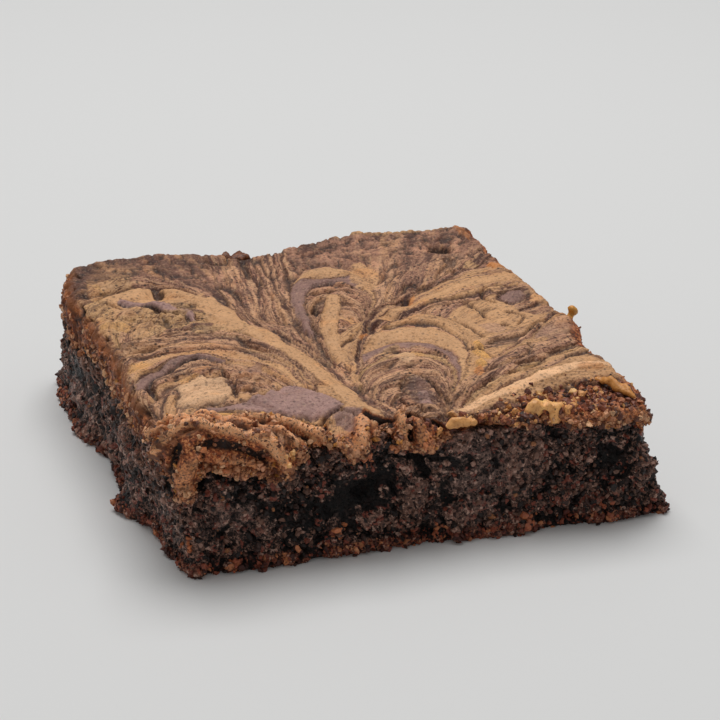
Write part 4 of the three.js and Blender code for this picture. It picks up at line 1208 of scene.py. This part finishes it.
def swirledCrust(p):
    # Brownie crust, baked dry: peanut batter dragged through cocoa batter. The eye gets streaks drawn along
    # the swirl, a fine sugary grain, pores and crevices painted dark with shade, and a browner, rougher band
    # where the crust rolls over the rim, with painted shade in its low grains and gaps.
    material, tree, shader = newMaterial("swirledCrust")
    place = add(tree, "ShaderNodeTexCoord").outputs["Object"]
    tone, strands, streak, onTop, crumble, lighter, atLeft = attributes(
        tree, "tone", "strands", "streak", "onTop", "crumble", "lighter", "atLeft")
    axes = add(tree, "ShaderNodeSeparateXYZ", {0: place}).outputs
    streakAt = add(tree, "ShaderNodeCombineXYZ", {"X": streak, "Y": axes["X"], "Z": axes["Y"]}).outputs[0]
    stretch = (1 / p["streakWidth"], perMm / p["streakRun"], perMm / p["streakRun"])
    streakAt = add(tree, "ShaderNodeVectorMath", {0: streakAt, 1: stretch}, operation="MULTIPLY").outputs[0]
    drawn, crevices, grain, pits, lump = (
        add(tree, "ShaderNodeTexNoise", {"Vector": at, "Scale": scale, "Detail": detail,
                                         "Roughness": rough}).outputs[0]
        for at, scale, detail, rough in (
            (streakAt, 1.0, 3.0, 0.65), (streakAt, 0.55, 4.0, 0.7), (place, perMm / p["grain"], 3.0, 0.6),
            (place, perMm / p["pit"], 4.0, 0.7), (place, perMm / p["lump"], 2.0, 0.5)))
    pores = add(tree, "ShaderNodeTexVoronoi", {"Vector": place, "Scale": perMm / p["pore"]}).outputs[0]
    some = add(tree, "ShaderNodeMath", {0: strands, 1: 0.55, 2: 0.45}, operation="MULTIPLY_ADD").outputs[0]

    # the shadow over pores and the crevice colour over crevices and pits are painted shade
    top = layers(tree, p, tone,
                 ("cocoa", drawn, 0.51, 0.61, 0.85, strands), ("peanut", drawn, 0.46, 0.36, 0.55, strands),
                 ("cocoa", grain, 0.54, 0.64, 0.75, some), ("peanut", grain, 0.44, 0.34, 0.45, some),
                 ("shadow", pores, 0.30, 0.12, 0.85, some), ("creviceShade", crevices, 0.44, 0.36, 0.85, strands),
                 ("creviceShade", pits, 0.41, 0.33, 0.85, some))
    side = layers(tree, p, rgba(p["sideDeep"]), ("side", lump, 0.32, 0.54), ("fold", lighter, 0.0, 0.7, 0.95),
                  ("sideLight", grain, 0.50, 0.62, 0.8), ("sideDeep", grain, 0.47, 0.36, 0.85),
                  ("wall", lump, 0.58, 0.46, 0.88, atLeft), ("rim", onTop, 0.0, 0.4, 0.65, atLeft))
    # painted shade over low grains, tears and the gaps between folds
    colour = layers(tree, p, lay(tree, side, top, onTop, 0.35, 0.85),
                    ("shadow", crumble, -0.1, -0.55, 0.92), ("shadow", lighter, -0.15, -0.85, 0.97))

    height = add(tree, "ShaderNodeMath", {0: drawn, 1: strands}, operation="MULTIPLY").outputs[0]
    for pattern, share in ((grain, some), (pits, 0.8)):
        more = {0: pattern, 1: share, 2: height}
        height = add(tree, "ShaderNodeMath", more, operation="MULTIPLY_ADD").outputs[0]
    finishSurface(tree, shader, p, colour, grain, height)
    return material


# pit is painted shade, laid in low spots and pores; glint, and the light laid on high grains, are painted
# highlights
crumbLook = {
    "grain": 0.40, "speck": 0.85, "granule": 0.8, "lump": 2.0,
    "pit": "#060303", "crumb": "#1E100B", "light": "#C4937F", "paintedGlint": "#E6BAA6", "red": "#A3503E",
    "dense": "#8E7268", "wall": "#8E5C42", "baseDeep": "#331A12", "base": "#8A432E", "baseLight": "#E69A76",
    "roughness": (0.16, 0.58), "ior": 1.45, "relief": 0.5, "strength": 1.0,
}


def fudgeCrumb(p):
    # Fudge brownie crumb, cut and torn: dark brown on the granules, some of them reddish, painted nearly
    # black with shade in its pits, with painted highlights on high grains, small painted glints, and a
    # granular red-brown base crust along the foot.
    material, tree, shader = newMaterial("fudgeCrumb")
    place = add(tree, "ShaderNodeTexCoord").outputs["Object"]
    inBase, crumble, dense, fade = attributes(tree, "inBase", "crumble", "dense", "fade")
    grain, speck, lump = (
        add(tree, "ShaderNodeTexNoise", {"Vector": place, "Scale": perMm / p[name], "Detail": detail,
                                         "Roughness": rough}).outputs[0]
        for name, detail, rough in (("grain", 5.0, 0.72), ("speck", 2.0, 0.6), ("lump", 2.0, 0.5)))
    cells = add(tree, "ShaderNodeTexVoronoi", {"Vector": place, "Scale": perMm / p["granule"]})
    cellTone = add(tree, "ShaderNodeSeparateColor", {0: cells.outputs["Color"]}).outputs[0]
    crumb = layers(tree, p, rgba(p["crumb"]),
                   ("light", grain, 0.48, 0.64), ("red", cellTone, 0.80, 0.86, 0.75),
                   ("dense", grain, 0.38, 0.56, 0.75, dense), ("wall", grain, 0.38, 0.60, 0.85, fade))
    base = layers(tree, p, rgba(p["baseDeep"]),
                  ("base", lump, 0.35, 0.65), ("baseLight", grain, 0.48, 0.62, 0.8))
    # painted shade in low spots, pores and tears; painted highlights on high grains and as glints
    colour = layers(tree, p, lay(tree, crumb, base, inBase, 0.3, 0.7),
                    ("light", crumble, 0.5, 1.8, 0.35), ("paintedGlint", speck, 0.57, 0.66, 0.9),
                    ("pit", speck, 0.43, 0.35, 0.8), ("pit", crumble, -0.1, -0.9, 0.97))
    hollow = {0: cells.outputs["Distance"], 1: -0.6, 2: grain}
    height = add(tree, "ShaderNodeMath", hollow, operation="MULTIPLY_ADD").outputs[0]
    finishSurface(tree, shader, p, colour, grain, height)
    return material


looseLook = {"name": "looseCrumb", "speck": "#2A1812", "roughness": 0.5, "ior": 1.45, "grain": 0.4,
             "relief": 0.2, "strength": 0.7}
peanutLook = {**looseLook, "name": "bakedPeanut", "speck": "#A8622C", "roughness": 0.42}


def bakedBits(p):
    # Loose and stuck-on bits of baked crumb, crust or peanut batter: dry and dull, each with its own tone,
    # speckled a little.
    material, tree, shader = newMaterial(p["name"])
    place = add(tree, "ShaderNodeTexCoord").outputs["Object"]
    tone, = attributes(tree, "tone")
    fine = {"Vector": place, "Scale": perMm / p["grain"], "Detail": 3.0}
    grain = add(tree, "ShaderNodeTexNoise", fine).outputs[0]
    colour = lay(tree, tone, rgba(p["speck"]), grain, 0.50, 0.66, 0.5)
    tree.links.new(colour, shader.inputs["Base Color"])
    shader.inputs["Roughness"].default_value = p["roughness"]
    shader.inputs["IOR"].default_value = p["ior"]
    relief = {"Strength": p["strength"], "Distance": p["relief"] * metre, "Height": grain}
    tree.links.new(add(tree, "ShaderNodeBump", relief).outputs[0], shader.inputs["Normal"])
    return material


# The stage, in metres and watts: a floor, soft light from a big panel overhead, a bit behind, and a pale
# surround.
stageSet = {"floor": 3.0, "floorTone": "#DDDDDC", "floorRoughness": 0.6, "panelSize": 0.7,
            "panelAt": (0.05, 0.25, 0.9), "panelPower": 6.8, "surround": 0.29}


def paleFloor(p):
    # A matt pale grey board: the eye gets an even, unmarked surface.
    material, tree, shader = newMaterial("paleFloor")
    shader.inputs["Base Color"].default_value = rgba(p["floorTone"])
    shader.inputs["Roughness"].default_value = p["floorRoughness"]
    return material


def makeStage(p):
    half = p["floor"] / 2
    floorMesh = bpy.data.meshes.new("floor")
    corners = [(-half, -half, 0), (half, -half, 0), (half, half, 0), (-half, half, 0)]
    floorMesh.from_pydata(corners, [], [(0, 1, 2, 3)])
    floor = bpy.data.objects.new("floor", floorMesh)
    floor.data.materials.append(paleFloor(p))
    bpy.context.collection.objects.link(floor)
    panel = bpy.data.lights.new("panel", "AREA")
    panel.size = p["panelSize"]
    panel.energy = p["panelPower"]
    panelObject = bpy.data.objects.new("panel", panel)
    panelObject.location = p["panelAt"]
    panelObject.rotation_mode = "QUATERNION"
    panelObject.rotation_quaternion = (-Vector(p["panelAt"])).to_track_quat("-Z", "Y")
    bpy.context.collection.objects.link(panelObject)
    world = bpy.data.worlds.new("surround")
    world.use_nodes = True
    surround = world.node_tree.nodes["Background"].inputs
    surround[0].default_value = (1, 1, 1, 1)
    surround[1].default_value = p["surround"]
    bpy.context.scene.world = world
    bpy.context.scene.view_settings.view_transform = "Standard"


makeStage(stageSet)
print("stage set")


def belongs(piece, material):
    # every piece rides on the one body and stands for the one solid
    piece.data.materials.append(material)
    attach(piece, "root")
    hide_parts("brownie")
    print(piece.name, len(piece.data.polygons), "faces")


crustPiece, crustAt, crustFacing, crustValues = makeCrust()
crumbPiece, crumbAt, crumbFacing, crumbValues = makeCrumb()
belongs(crustPiece, swirledCrust(crustLook))
belongs(crumbPiece, fudgeCrumb(crumbLook))

# Where the bits lie: the broken parts of the front rim are x, y, z and three radii; away from the front,
# fewer bits lie; the crust's own crumbs gather along its edge, peak in mm above it and spread.
brokenRim = [(29.5, -38.6, 20, 7, 2.8, 3), (14, -40.6, 20.5, 8, 1.2, 2)]
lie = {"crumbAway": 0.25, "crumbDense": 0.75, "crustAway": 0.4, "crustPlain": 0.25, "crustEdge": 2.5,
       "edgePeak": 0.4, "edgeSpread": 0.9, "crustBroken": 0.2}


def whereCrumbsLie(p, facing, values):
    # granules on the open crumb and base granules along the foot, both on the sides
    side = np.hypot(facing[:, 0], facing[:, 1])
    inBase = values["inBase"][:len(facing)]
    openCrumb = side * (1 - values["inCrust"]) * (1 - inBase) * (1 - p["crumbDense"] * values["dense"])
    towardsFront = np.clip(-facing[:, 1], 0, 1)
    openCrumb = openCrumb * (p["crumbAway"] + (1 - p["crumbAway"]) * towardsFront) * (1 - values["pitted"])
    return openCrumb, side * inBase


def whereCrustCrumbsLie(p, at, facing, values):
    # crumbs on the rim's outside, most along the crust's edge, and on the broken parts of the rim
    broken = sum(bump(*at.T, spot) for spot in brokenRim) * values["inCrust"]
    edge = np.exp(-((values["edgeGap"] - p["edgePeak"]) / p["edgeSpread"]) ** 2)
    towardsFront = np.clip(-facing[:, 1], 0, 1)
    onRim = values["inCrust"] * (1 - step(0.2, 0.6, values["onTop"]))
    onRim = onRim * (p["crustPlain"] + p["crustEdge"] * edge)
    onRim = onRim * (p["crustAway"] + (1 - p["crustAway"]) * towardsFront)
    return onRim + p["crustBroken"] * broken, broken


openCrumb, footCrumb = whereCrumbsLie(lie, crumbFacing, crumbValues)
onRim, broken = whereCrustCrumbsLie(lie, crustAt, crustFacing, crustValues)
looseMaterial, peanutMaterial = bakedBits(looseLook), bakedBits(peanutLook)
belongs(makeBits(bits["crumb"], crumbAt, crumbFacing, openCrumb + 1e-6), looseMaterial)
belongs(makeBits(bits["base"], crumbAt, crumbFacing, footCrumb + 1e-6), looseMaterial)
belongs(makeBits(bits["crust"], crustAt, crustFacing, onRim), looseMaterial)
belongs(makeBits(bits["corner"], crustAt, crustFacing, broken + 1e-9), looseMaterial)
belongs(makeRolls(rimRolls), peanutMaterial)
bothAt, bothFacing = np.vstack([crustAt, crumbAt]), np.vstack([crustFacing, crumbFacing])
bothShown = np.concatenate([crustValues["inCrust"], 1 - crumbValues["inCrust"]])
belongs(makeClusters(clusters, bothAt, bothFacing, bothShown), peanutMaterial)
